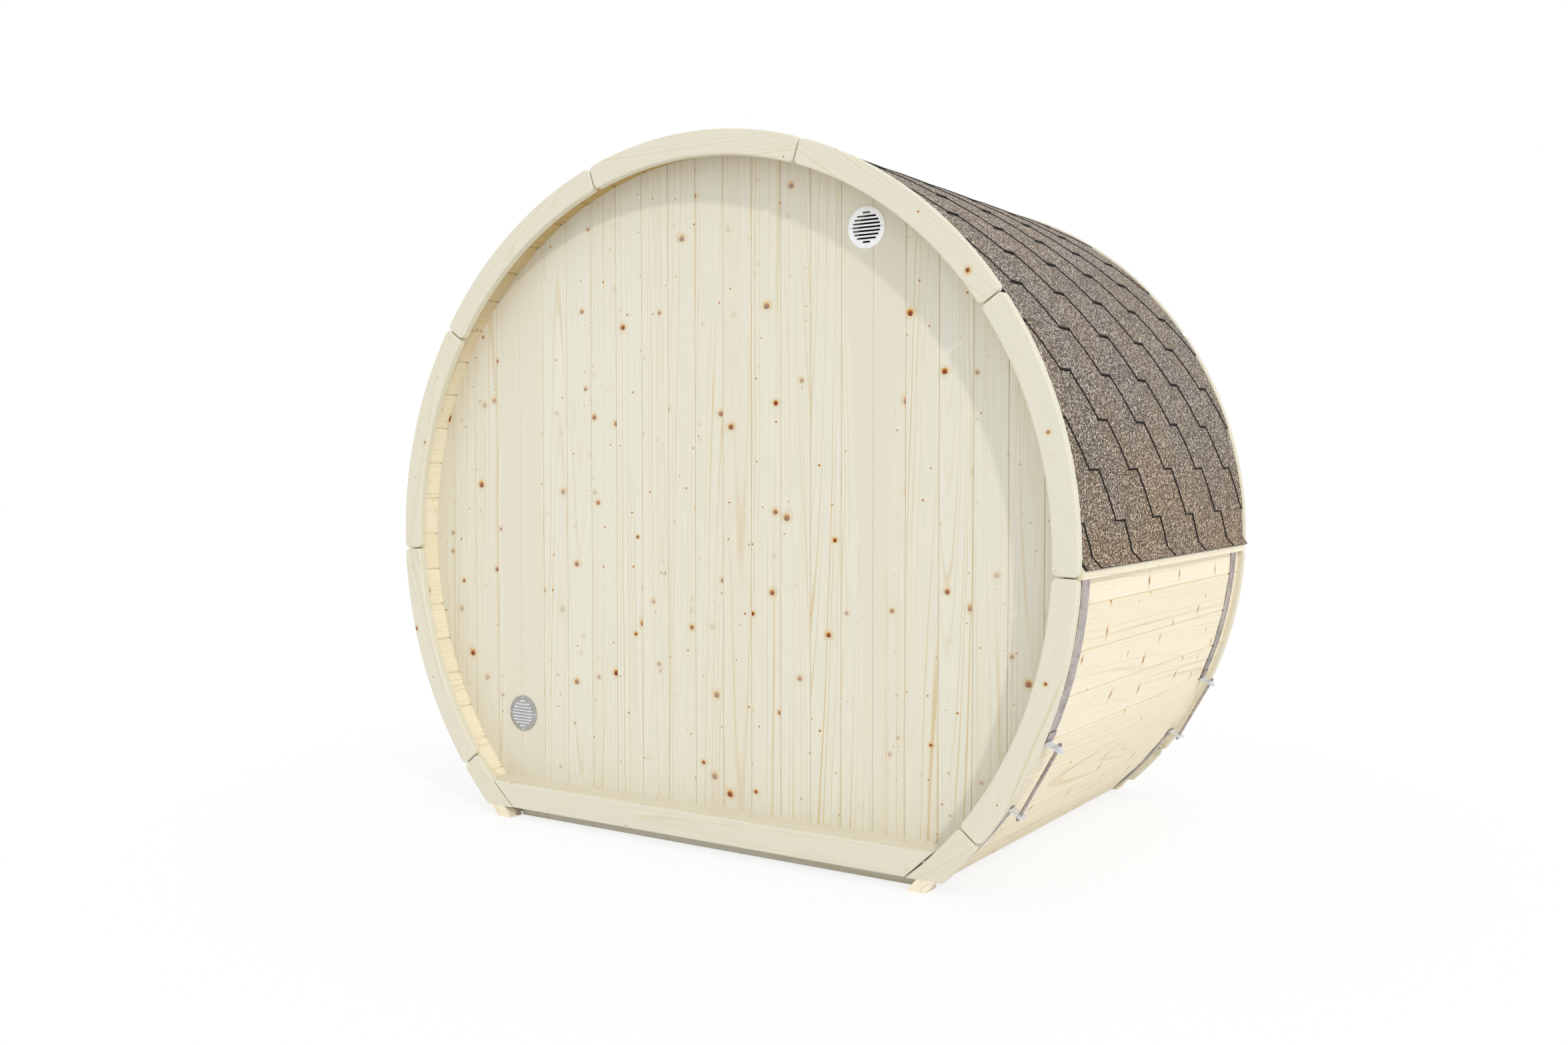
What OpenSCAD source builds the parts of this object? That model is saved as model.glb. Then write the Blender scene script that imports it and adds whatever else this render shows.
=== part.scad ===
// Barrel sauna: a stave shell on a flat base, with segmented timber rings at both ends.
// Millimetres, +Z up. The rear end, with the two vents, faces -Y, and the door faces +Y.
// The origin lies on the ground below the middle of the barrel.

/* [Barrel] */
// Length over the end rings
barrel_len = 1568; // [1300:1:2600]
// Height of the barrel's centre line above the ground, as a share of the ring radius
centre_share = 0.7536; // [0.74:0.0001:0.77]

/* [End rings] */
// Outer radius of the end rings
ring_r = 1250; // [1230:1:1300]
// Width of a ring board, across the radius
ring_w = 76; // [70:1:90]
// Thickness of a ring board, along the barrel
ring_t = 28; // [22:1:36]
// Height of the rings' flat underside above the ground
ring_base_z = 36; // [30:1:44]
// Angle that one full ring piece covers, in degrees
ring_piece_deg = 36.9; // [36:0.1:37.4]
// Gap at each joint of a ring
ring_gap = 4; // [1:0.5:5]
// Radius of the rounded corners at the ends of a ring piece
ring_corner_r = 15; // [8:1:20]
// Radius of the rounding along the edges of a ring piece
ring_edge_r = 5; // [3:1:7]
// Height of the sill board that closes each ring at the bottom
sill_h = 82; // [76:1:88]

/* [Staves] */
// Staves in a full circle
stave_count = 60; // [54:6:66]
// Thickness of a stave
stave_t = 36; // [30:1:40]
// How far the rings stand proud of the staves
ring_proud = 16; // [14:1:20]
// Height of the shell's cut underside above the ground
stave_base_z = 11; // [6:1:16]
// Staves in each of the upper shell segments
segment_staves = 8; // [7:1:9]

/* [Floor] */
// Thickness of the floor deck
deck_t = 36; // [30:1:45]
// Thickness of a bearer, along the barrel
bearer_t = 45; // [38:1:60]
// Distance from an end of the barrel to the face of the nearest bearer
bearer_inset = 56; // [50:1:66]

/* [End walls] */
// Depth of the recess between the end of the barrel and the wall
wall_recess = 103; // [90:1:140]
// Thickness of the end walls
wall_t = 38; // [28:1:45]

/* [Vents] */
// Diameter of a vent's face plate
vent_d = 121; // [110:1:130]
// Thickness of a vent's face plate
vent_t = 3; // [2:0.5:5]
// Diameter of the hole behind a vent
vent_hole_d = 100; // [90:1:104]
// Radius of the round field of slots
vent_field_r = 46.5; // [44:0.5:48]
// Slots in a vent
vent_slots = 9; // [7:2:11]
// Height of one slot
vent_slot_h = 5.6; // [4:0.2:7]
// Distance from one slot to the next
vent_pitch = 10.5; // [10:0.1:11]
// Angle of the upper vent above the right-hand horizontal, in degrees
upper_vent_deg = 58.8; // [50:0.1:66]
// Distance from the wall's rim to the middle of the upper vent
upper_vent_edge = 114; // [100:1:140]
// Angle of the lower vent below the left-hand horizontal, in degrees
lower_vent_deg = 37.6; // [34:0.1:40]
// Distance from the wall's rim to the middle of the lower vent
lower_vent_edge = 205; // [180:1:240]
// Slope of the lower vent's pressed louvres, in degrees
louvre_deg = 35; // [25:1:45]

/* [Roof covering] */
// Thickness of one layer of shingle
shingle_t = 3; // [2:0.5:4]
// Height of a shingle course
course_h = 141; // [120:1:160]
// Height of the lowest course above the horizontal diameter
eave_course_h = 92; // [70:1:120]
// Distance from the horizontal diameter down to the underside of an eave batten
batten_drop = 53; // [46:1:60]
// Height of an eave batten's outer face
batten_face = 24; // [18:1:30]
// How far an eave batten reaches beyond the ring's radius
batten_reach = 4; // [2:0.5:8]

/* [Bands] */
// Width of a steel band
band_w = 55; // [40:1:60]
// Thickness of a steel band
band_t = 2; // [1.5:0.5:3]
// Distance from an end of the barrel to the nearest edge of its band
band_inset = 68; // [60:1:80]
// Angle of the middle of a tensioner below the horizontal, in degrees
lug_mid_deg = 29; // [24:1:34]
// Distance between the two lugs of a tensioner
lug_span = 216; // [180:1:240]
// Thickness of a lug
lug_t = 3; // [2:0.5:5]
// Distance from the outside of the band to the middle of the tensioner's rod
rod_out = 27; // [24:1:45]
// Radius of a lug's rounded end
lug_end_r = 18; // [15:1:22]
// How far a lug's foot keeps inside the edges of the band
lug_inset = 2; // [1:0.5:4]
// Diameter of a tensioner's rod
rod_d = 10; // [6:1:12]
// Length of the doubled strap beside a lug
lap_len = 30; // [20:1:50]

/* [Door] */
// Width of the door leaf
door_w = 640; // [560:1:720]
// Height of the wall above an upper corner of the door frame
door_head_h = 148; // [110:1:220]
// Thickness of the door leaf
door_t = 34; // [28:1:38]
// Gap around the door leaf
door_gap = 3; // [2:0.5:5]
// Width of a door frame member
frame_w = 62; // [50:1:75]
// How far the door frame stands proud of the wall
frame_proud = 12; // [6:1:20]
// Height of a hinge
hinge_h = 100; // [80:1:140]
// Diameter of a hinge knuckle
hinge_d = 14; // [10:1:18]
// Thickness of a hinge plate
hinge_plate_t = 3; // [2:0.5:5]
// Length of the door's grip
grip_len = 260; // [200:1:320]
// Diameter of the door's grip
grip_d = 30; // [24:1:36]
// Distance from the leaf to the middle of the grip
grip_out = 48; // [40:1:60]

/* [Fits] */
// Clearance between pieces that are pushed together
fit = 0.3; // [0.2:0.1:0.5]
// Clearance between the rod and the hole in a lug
rod_fit = 0.5; // [0.3:0.1:1]

/* [Hidden] */
END_NAMES = ["rear", "front"];
PIECE_NAMES = ["top", "upper_left", "upper_right", "side_left", "side_right", "lower_left", "lower_right"];
SEGMENT_NAMES = ["top_left", "top_right", "side_left", "side_right", "low_left", "low_right"];
SIDE_NAMES = ["left", "right"];

$fn = 48;
ARC_FN = 360;
EDGE_FN = 24;
WOOD = "wheat";
WALL_WOOD = "blanchedalmond";
STEEL = "silver";
SHINGLE = "dimgray";
RIDGE_DEG = 90;
// How far the circles of a ring piece's corners run past its faces, which they meet at an angle
CORNER_OVER = 0.5;
// Layers of shingle under a course at its lower edge, at its middle and where the next course starts
EDGE_LAYERS = 2;
MID_LAYERS = 1.5;
HEAD_LAYERS = 1;

centre_z = centre_share * ring_r;
half_len = barrel_len / 2;
inner_half_len = half_len - ring_t;
ring_in = ring_r - ring_w;
ring_base = centre_z - ring_base_z;
ring_full_deg = ring_piece_deg * len(PIECE_NAMES) / 2;

stave_deg = 360 / stave_count;
stave_r = ring_r - ring_proud;
stave_flat_in = stave_r * cos(stave_deg / 2) - stave_t;
stave_in = stave_flat_in / cos(stave_deg / 2);
stave_base = centre_z - stave_base_z;
segment_deg = segment_staves * stave_deg;
low_segment_staves = ceil((180 - 2 * segment_deg) / stave_deg);

deck_top_z = ring_base_z + sill_h;
deck_top = centre_z - deck_top_z;
bearer_h = deck_top_z - deck_t;

wall_face = half_len - wall_recess;
wall_r = stave_in - fit / cos(stave_deg / 2);

band_in = stave_r + fit;
band_out = band_in + band_t;
band_end_deg = asin(stave_base / stave_r) - 1;
rod_r = band_out + rod_out;
lap_deg = lap_len / band_out * 180 / PI;

roof_step_deg = course_h / band_out * 90 / PI;
roof_in = (band_out + fit) / cos(roof_step_deg / 2);
eave_deg = eave_course_h / band_out * 180 / PI;
roof_courses = floor((RIDGE_DEG - eave_deg) / (2 * roof_step_deg));

batten_in = band_out + fit;
batten_out = ring_r + batten_reach;
batten_top = batten_face - batten_drop;

door_sill_z = deck_top_z + frame_w;
door_base_z = door_sill_z + door_gap;
frame_in_w = door_w + 2 * door_gap;
frame_out_w = frame_in_w + 2 * frame_w;
frame_out_top = centre_z + sqrt(wall_r * wall_r - frame_out_w * frame_out_w / 4) - door_head_h;
frame_in_top = frame_out_top - frame_w;
door_h = frame_in_top - door_gap - door_base_z;

// A point at a radius and an angle from the horizontal, on the barrel's cross-section
function polar(r, a) = [r * cos(a), r * sin(a)];

// Corners of the stave joints between two angles, at one radius
function joint_points(r, from, count) = [for (i = [0 : count]) polar(r, from + i * stave_deg)];

// Middles of the vents on the wall
upper_vent_at = polar(wall_r - upper_vent_edge, upper_vent_deg);
lower_vent_at = polar(wall_r - lower_vent_edge, 180 + lower_vent_deg);

// A list read from its end
function backwards(list) = [for (i = [len(list) - 1 : -1 : 0]) list[i]];

// Half the width between the staves' inner faces at a depth below the centre line
function inside_half_width(depth) =
  let (flat = floor(asin(depth / stave_flat_in) / stave_deg) * stave_deg + stave_deg / 2)
  (stave_flat_in - depth * sin(flat)) / cos(flat);

// Cross-sections are drawn in X and Z and run from the given place along Y towards the rear
module section_at(y) {
  translate([0, y, centre_z])
    rotate([90, 0, 0])
      children();
}

// What belongs to one end, turned to the front for the second end
module at_end(end) {
  mirror([0, end == "front" ? 1 : 0, 0]) children();
}

// What belongs to the right side, turned to the left for the first side
module at_side(side) {
  mirror([side == "left" ? 1 : 0, 0, 0]) children();
}

// Everything on the cross-section above a depth below the centre line
module above(depth) {
  translate([-2 * ring_r, -depth]) square([4 * ring_r, depth + 2 * ring_r]);
}

// Staves

module stave_run(from, count) {
  section_at(inner_half_len)
    linear_extrude(2 * inner_half_len)
      intersection() {
        polygon(concat(joint_points(stave_r, from, count), backwards(joint_points(stave_in, from, count))));
        above(stave_base);
      }
}

module stave_segment(name) {
  color(WOOD) {
    if (name == "top_left") stave_run(RIDGE_DEG, segment_staves);
    if (name == "top_right") stave_run(RIDGE_DEG - segment_deg, segment_staves);
    if (name == "side_left") stave_run(RIDGE_DEG + segment_deg, segment_staves);
    if (name == "side_right") stave_run(RIDGE_DEG - 2 * segment_deg, segment_staves);
    if (name == "low_left") stave_run(RIDGE_DEG + 2 * segment_deg, low_segment_staves);
    if (name == "low_right")
      stave_run(RIDGE_DEG - 2 * segment_deg - low_segment_staves * stave_deg, low_segment_staves);
  }
}

// Floor and base

module floor_deck() {
  under = deck_top + deck_t;
  top_x = inside_half_width(deck_top) - fit;
  under_x = inside_half_width(under) - fit;
  color(WOOD)
    section_at(inner_half_len)
      linear_extrude(2 * inner_half_len)
        polygon([[-under_x, -under], [under_x, -under], [top_x, -deck_top], [-top_x, -deck_top]]);
}

module floor_bearers() {
  half_w = inside_half_width(stave_base) - fit;
  end_y = half_len - bearer_inset - bearer_t / 2;
  color(WOOD)
    for (y = [-end_y, 0, end_y])
      translate([-half_w, y - bearer_t / 2, 0])
        cube([2 * half_w, bearer_t, bearer_h]);
}

// Feet follow the slope of the lowest stave, from the ring's underside down to the ground
foot_slope = stave_deg * (floor(asin(ring_base / stave_flat_in) / stave_deg) + 0.5);

module foot_section(top) {
  function face_x(flat, depth) = (flat - depth * sin(foot_slope)) / cos(foot_slope);
  flat_out = stave_flat_in + stave_t;
  polygon([
    [face_x(stave_flat_in, top), -top], [face_x(flat_out, top), -top],
    [face_x(flat_out, centre_z), -centre_z], [face_x(stave_flat_in, centre_z), -centre_z]
  ]);
}

module base_feet() {
  color(WOOD)
    for (end = END_NAMES) for (side = SIDE_NAMES)
      at_end(end) at_side(side) {
        section_at(-inner_half_len) linear_extrude(ring_t) foot_section(ring_base);
        section_at(bearer_inset - half_len) linear_extrude(bearer_inset) foot_section(stave_base);
      }
}

// End walls

module wall_outline() {
  intersection() {
    polygon(joint_points(wall_r, RIDGE_DEG, stave_count - 1));
    above(deck_top);
  }
}

module rear_wall() {
  color(WALL_WOOD)
    section_at(wall_t - wall_face)
      linear_extrude(wall_t)
        difference() {
          wall_outline();
          for (at = [upper_vent_at, lower_vent_at])
            translate(at) circle(d = vent_hole_d);
        }
}

module front_wall_side(side) {
  color(WALL_WOOD)
    section_at(wall_face)
      linear_extrude(wall_t)
        intersection() {
          wall_outline();
          at_side(side) translate([frame_out_w / 2, -ring_r]) square(2 * ring_r);
        }
}

module front_wall_head() {
  color(WALL_WOOD)
    section_at(wall_face)
      linear_extrude(wall_t)
        intersection() {
          wall_outline();
          translate([-frame_out_w / 2, frame_out_top - centre_z]) square([frame_out_w, ring_r]);
        }
}

// End rings

module rounded_plate(w, h, r) {
  translate([r, 0]) square([w - 2 * r, h]);
  translate([0, r]) square([w, h - 2 * r]);
  for (x = [r, w - r]) for (y = [r, h - r])
    translate([x, y]) circle(r = r, $fn = EDGE_FN);
}

// What is cut away around the rounded end of a ring piece that starts at the horizontal
module end_waste() {
  r = ring_corner_r;
  translate([0, 0, -ring_t])
    linear_extrude(3 * ring_t)
      difference() {
        translate([ring_in - r, -r]) square([ring_w + 2 * r, 2.5 * r]);
        translate([ring_in - CORNER_OVER, 0]) rounded_plate(ring_w + 2 * CORNER_OVER, ring_w, r);
      }
}

module ring_arc(from, to, round_to) {
  gap_deg = ring_gap / 2 / ring_r * 180 / PI;
  difference() {
    rotate(from - gap_deg)
      rotate_extrude(angle = to - from + 2 * gap_deg, $fn = ARC_FN)
        translate([ring_in, 0])
          rounded_plate(ring_w, ring_t, ring_edge_r);
    rotate(from + gap_deg) end_waste();
    if (round_to) rotate(to - gap_deg) mirror([0, 1, 0]) end_waste();
  }
}

// Pieces are numbered from the top: 0, then left and right in turn
module ring_piece(end, index) {
  centre = RIDGE_DEG + ceil(index / 2) * ring_piece_deg;
  side = index % 2 == 1 ? "left" : "right";
  color(WOOD)
    at_end(end)
      at_side(side)
        mirror([1, 0, 0])
          section_at(-inner_half_len)
            ring_arc(centre - ring_piece_deg / 2, centre + ring_piece_deg / 2, true);
}

// The sill's mitred ends lie along the inner edge of the ring, down to its flat underside
module sill(end) {
  top_x = sqrt(ring_in * ring_in - deck_top * deck_top) - ring_gap;
  base_x = sqrt(ring_in * ring_in - ring_base * ring_base) - ring_gap;
  color(WOOD)
    at_end(end)
      section_at(-inner_half_len)
        linear_extrude(ring_t)
          polygon([[-base_x, -ring_base], [base_x, -ring_base], [top_x, -deck_top], [-top_x, -deck_top]]);
}

module ring_ends(end) {
  start = RIDGE_DEG + ring_full_deg;
  color(WOOD)
    at_end(end)
      for (side = SIDE_NAMES)
        at_side(side)
          section_at(-inner_half_len)
            difference() {
              ring_arc(start, start + ring_piece_deg, false);
              translate([-2 * ring_r, -2 * ring_r, -ring_t])
                cube([4 * ring_r, 2 * ring_r - ring_base, 3 * ring_t]);
            }
}

// Roof covering and eaves

// Angles of the course edges and of the middles between them, from the eave to the ridge
roof_angles = concat(
  [0],
  [for (i = [0 : 2 * roof_courses]) eave_deg + i * roof_step_deg],
  [RIDGE_DEG]
);

// A point of the covering's outer face
function roof_point(layers, a) = polar(roof_in + layers * shingle_t, a);

// Outer face of one course, up to where the next course starts
function course_points(k) =
  let (a = eave_deg + 2 * k * roof_step_deg)
  [roof_point(HEAD_LAYERS, a), roof_point(EDGE_LAYERS, a), roof_point(MID_LAYERS, a + roof_step_deg)];

module roof_half(side) {
  bevel = [batten_out - batten_in, batten_top];
  along = bevel / norm(bevel);
  outward = [-along[1], along[0]];
  lip = [batten_out, batten_top] + outward * fit + along * shingle_t;
  outer = concat(
    [lip, lip + outward * shingle_t, [roof_in + shingle_t, shingle_t]],
    [for (k = [0 : roof_courses - 1]) each course_points(k)],
    [
      roof_point(HEAD_LAYERS, eave_deg + 2 * roof_courses * roof_step_deg),
      roof_point(EDGE_LAYERS, eave_deg + 2 * roof_courses * roof_step_deg),
      roof_point(EDGE_LAYERS, RIDGE_DEG)
    ]
  );
  inner = concat([[batten_in, 0] + outward * fit], [for (a = roof_angles) if (a > 0) polar(roof_in, a)]);
  color(SHINGLE)
    at_side(side)
      section_at(inner_half_len)
        linear_extrude(2 * inner_half_len)
          polygon(concat(outer, backwards(inner)));
}

module eave_batten(side) {
  color(WOOD)
    at_side(side)
      section_at(inner_half_len)
        linear_extrude(2 * inner_half_len)
          polygon([
            [batten_in, -batten_drop], [batten_out, -batten_drop],
            [batten_out, batten_top], [batten_in, 0]
          ]);
}

// Steel bands and tensioners

module strap(from, to, inner, outer, inset) {
  rotate(from)
    rotate_extrude(angle = to - from, $fn = ARC_FN)
      translate([inner, inset])
        square([outer - inner, band_w - 2 * inset]);
}

// Angle from the middle of the tensioner to a place beside the inner face of a lug
function lug_deg(beside) = asin((lug_span / 2 + beside) / band_in);

// One lug, in a frame whose X points from the barrel's centre to the middle of the tensioner
module lug() {
  mid = band_w / 2;
  foot_x = band_in * cos(lug_deg(lug_t));
  translate([0, lug_span / 2 + lug_t, 0])
    rotate([90, 0, 0])
      linear_extrude(lug_t)
        difference() {
          union() {
            polygon([
              [foot_x, lug_inset], [rod_r, mid - lug_end_r],
              [rod_r, mid + lug_end_r], [foot_x, band_w - lug_inset]
            ]);
            translate([rod_r, mid]) circle(r = lug_end_r);
          }
          translate([rod_r, mid]) circle(d = rod_d + 2 * rod_fit);
        }
}

// One end of a band: the strap from a given angle to the lug, doubled beside the lug
module band_end(from) {
  lap_from = lug_deg(lug_t / 2);
  strap(lug_deg(-lug_t / 2), from, band_in, band_out, 0);
  strap(lap_from, lap_from + lap_deg, (band_in + band_out) / 2, band_out + band_t, 2 * lug_inset);
  lug();
}

module band(end) {
  color(STEEL)
    at_end(end)
      section_at(band_inset + band_w - half_len)
        rotate(-lug_mid_deg) {
          band_end(180 + band_end_deg + lug_mid_deg);
          mirror([0, 1, 0]) band_end(band_end_deg - lug_mid_deg);
        }
}

module rod(end) {
  nut_d = 1.9 * rod_d;
  nut_h = 0.8 * rod_d;
  washer_d = 3 * rod_d;
  washer_h = 0.2 * rod_d;
  reach = lug_span / 2 + lug_t + fit;
  color(STEEL)
    at_end(end)
      section_at(band_inset + band_w - half_len)
        rotate(-lug_mid_deg)
          translate([rod_r, 0, band_w / 2])
            rotate([90, 0, 0]) {
              cylinder(d = rod_d, h = 2 * (reach + washer_h + 2 * nut_h), center = true);
              for (turn = [0, 180])
                rotate([turn, 0, 0])
                  translate([0, 0, reach]) {
                    cylinder(d = washer_d, h = washer_h);
                    translate([0, 0, washer_h]) cylinder(d = nut_d, h = nut_h, $fn = 6);
                  }
            }
}

// Vents

// Half the width of the slot that lies a number of pitches from the middle
function slot_half_w(i) =
  let (edge = abs(i) * vent_pitch + (i == 0 ? 0 : vent_slot_h / 2))
  sqrt(max(vent_field_r * vent_field_r - edge * edge, vent_slot_h * vent_slot_h));

vent_rows = [for (i = [-(vent_slots - 1) / 2 : (vent_slots - 1) / 2]) i];

module vent_plate() {
  linear_extrude(vent_t)
    difference() {
      circle(d = vent_d);
      for (i = vent_rows)
        translate([-slot_half_w(i), i * vent_pitch - vent_slot_h / 2])
          square([2 * slot_half_w(i), vent_slot_h]);
    }
}

// Pressed louvres hang from the upper edge of each slot
module louvres() {
  blade_t = vent_t / 3;
  for (i = vent_rows)
    translate([-slot_half_w(i), i * vent_pitch + vent_slot_h / 2, blade_t])
      rotate([90 - louvre_deg, 0, 0])
        translate([0, 0, -blade_t])
          cube([2 * slot_half_w(i), blade_t, vent_slot_h / cos(louvre_deg)]);
}

module upper_vent() {
  color("white")
    section_at(-wall_face)
      translate(upper_vent_at)
        vent_plate();
}

module lower_vent() {
  color(STEEL)
    section_at(-wall_face)
      translate(lower_vent_at) {
        vent_plate();
        louvres();
      }
}

// Door

module door_frame() {
  depth = wall_t + frame_proud;
  color(WOOD)
    translate([-frame_out_w / 2, wall_face - wall_t, deck_top_z])
      difference() {
        cube([frame_out_w, depth, frame_out_top - deck_top_z]);
        translate([frame_w, -depth, frame_w])
          cube([frame_in_w, 3 * depth, frame_in_top - door_sill_z]);
      }
}

module door_leaf() {
  color(WALL_WOOD)
    translate([-door_w / 2, wall_face - door_t + frame_proud, door_base_z])
      cube([door_w, door_t, door_h]);
}

module door_hinges() {
  plate_w = frame_w * 0.6;
  inset = door_h / 7;
  face = wall_face + frame_proud + fit;
  color(STEEL)
    for (z = [door_base_z + inset, door_base_z + door_h - inset - hinge_h])
      translate([-door_w / 2 - door_gap / 2, face, z]) {
        translate([-plate_w, 0, 0]) cube([2 * plate_w, hinge_plate_t, hinge_h]);
        translate([0, hinge_d / 2, 0]) cylinder(d = hinge_d, h = hinge_h);
      }
}

module door_handle() {
  face = wall_face + frame_proud + fit;
  grip_x = door_w / 2 - 1.5 * frame_w;
  grip_z = door_base_z + door_h / 2;
  post_d = 0.7 * grip_d;
  post_z = grip_len / 3;
  color(WOOD)
    translate([grip_x, face, grip_z]) {
      translate([0, grip_out, -grip_len / 2]) cylinder(d = grip_d, h = grip_len);
      for (z = [-post_z, post_z])
        translate([0, 0, z]) rotate([-90, 0, 0]) cylinder(d = post_d, h = grip_out);
    }
}

for (s = SEGMENT_NAMES)
  stave_segment(s);
floor_deck();
floor_bearers();
base_feet();
rear_wall();
for (s = SIDE_NAMES)
  front_wall_side(s);
front_wall_head();
for (e = END_NAMES) {
  for (i = [0 : len(PIECE_NAMES) - 1])
    ring_piece(e, i);
  ring_ends(e);
  sill(e);
  band(e);
  rod(e);
}
for (s = SIDE_NAMES) {
  roof_half(s);
  eave_batten(s);
}
upper_vent();
lower_vent();
door_frame();
door_leaf();
door_hinges();
door_handle();
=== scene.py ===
"""Barrel sauna: boards, shingles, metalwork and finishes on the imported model.

Metres, +Z up. The rear end, with the two vents, faces -Y, and the door faces +Y.
"""

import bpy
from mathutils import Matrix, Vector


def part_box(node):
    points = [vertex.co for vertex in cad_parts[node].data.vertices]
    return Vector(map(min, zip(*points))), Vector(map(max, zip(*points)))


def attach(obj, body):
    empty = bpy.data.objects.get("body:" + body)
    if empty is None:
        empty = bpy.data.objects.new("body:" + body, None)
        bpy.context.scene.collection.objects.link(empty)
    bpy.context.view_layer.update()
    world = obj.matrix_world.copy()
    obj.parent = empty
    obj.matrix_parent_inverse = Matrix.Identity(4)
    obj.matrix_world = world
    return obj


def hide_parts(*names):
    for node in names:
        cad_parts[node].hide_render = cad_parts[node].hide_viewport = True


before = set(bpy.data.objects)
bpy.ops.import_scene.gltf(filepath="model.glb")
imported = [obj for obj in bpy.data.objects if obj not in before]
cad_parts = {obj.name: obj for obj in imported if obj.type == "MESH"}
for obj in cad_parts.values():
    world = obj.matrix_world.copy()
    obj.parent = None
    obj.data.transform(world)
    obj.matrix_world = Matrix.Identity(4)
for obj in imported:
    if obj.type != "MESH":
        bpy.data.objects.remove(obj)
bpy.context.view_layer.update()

import math
import random

import bmesh
import bpy
from bpy.props import FloatProperty, FloatVectorProperty, IntProperty, PointerProperty
from bpy.types import Operator, Panel, PropertyGroup
from mathutils import Matrix, Vector

bl_info = {
    "name": "Barrel sauna",
    "version": (1, 0, 0),
    "blender": (4, 5, 0),
    "location": "View3D > Sidebar > Sauna",
    "description": "Dresses a barrel sauna with boards, shingles and metalwork",
    "category": "Object",
}

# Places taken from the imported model
ENDS = ("rear", "front")
SIDES = ("left", "right")
RING_LOW, RING_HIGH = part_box("rear_ring_top")
RING_R = -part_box("rear_ring_side_left")[0].x
RING_T = RING_HIGH.y - RING_LOW.y
CENTRE_Z = RING_HIGH.z - RING_R
AXIS = Vector((0, 0, CENTRE_Z))
SHELL_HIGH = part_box("staves_top_left")[1]
SHELL_HALF = SHELL_HIGH.y
STAVE_R = SHELL_HIGH.z - CENTRE_Z
STAVE_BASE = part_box("staves_low_left")[0].z
WALL_LOW, WALL_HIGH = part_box("rear_wall")
DECK_LOW, DECK_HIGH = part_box("floor_deck")
SILL_LOW, SILL_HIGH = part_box("rear_sill")
BATTEN_LOW, BATTEN_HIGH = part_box("eave_batten_right")

# Lifts of the roof covering above the barrel, in layers of shingle
STARTER_LIFT = 0.2
COURSE_LIFT = 2.2
CAP_LIFT = 3.5

# How far a face of the roof covering looks outwards: a granulated face at least, and a cut edge at most
FACE_OUTWARDS = 0.8
EDGE_OUTWARDS = 0.5

# Distances within which points count as one: in a plain cut, in a vent's plate, in a course and on the ridge
TOUCH = 1e-6
FINE_TOUCH = 1e-7
COURSE_TOUCH = 1e-5
RIDGE_TOUCH = 1e-4

# Corners below these angles, in degrees, are shaded smooth
SMOOTH_STEEL = 35
SMOOTH_PLATE = 30
SMOOTH_GRIP = 40


def linear(value):
    """One display colour value, from 0 to 255, as linear light."""
    value /= 255
    return value / 12.92 if value <= 0.04045 else ((value + 0.055) / 1.055) ** 2.4


def colour(red, green, blue):
    """A display colour as the linear colour that the shaders take."""
    return tuple(linear(value) for value in (red, green, blue))


def length(name, description, default):
    """A length that a user may change, in metres."""
    return FloatProperty(name=name, description=description, default=default, unit="LENGTH", precision=4)


def angle(name, description, default):
    """An angle that a user may change, given here in degrees."""
    return FloatProperty(name=name, description=description, default=math.radians(default), subtype="ANGLE")


def tint(name, description, default):
    """A colour that a user may change."""
    return FloatVectorProperty(
        name=name, description=description, default=default, size=3, subtype="COLOR", min=0, max=1
    )


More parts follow.
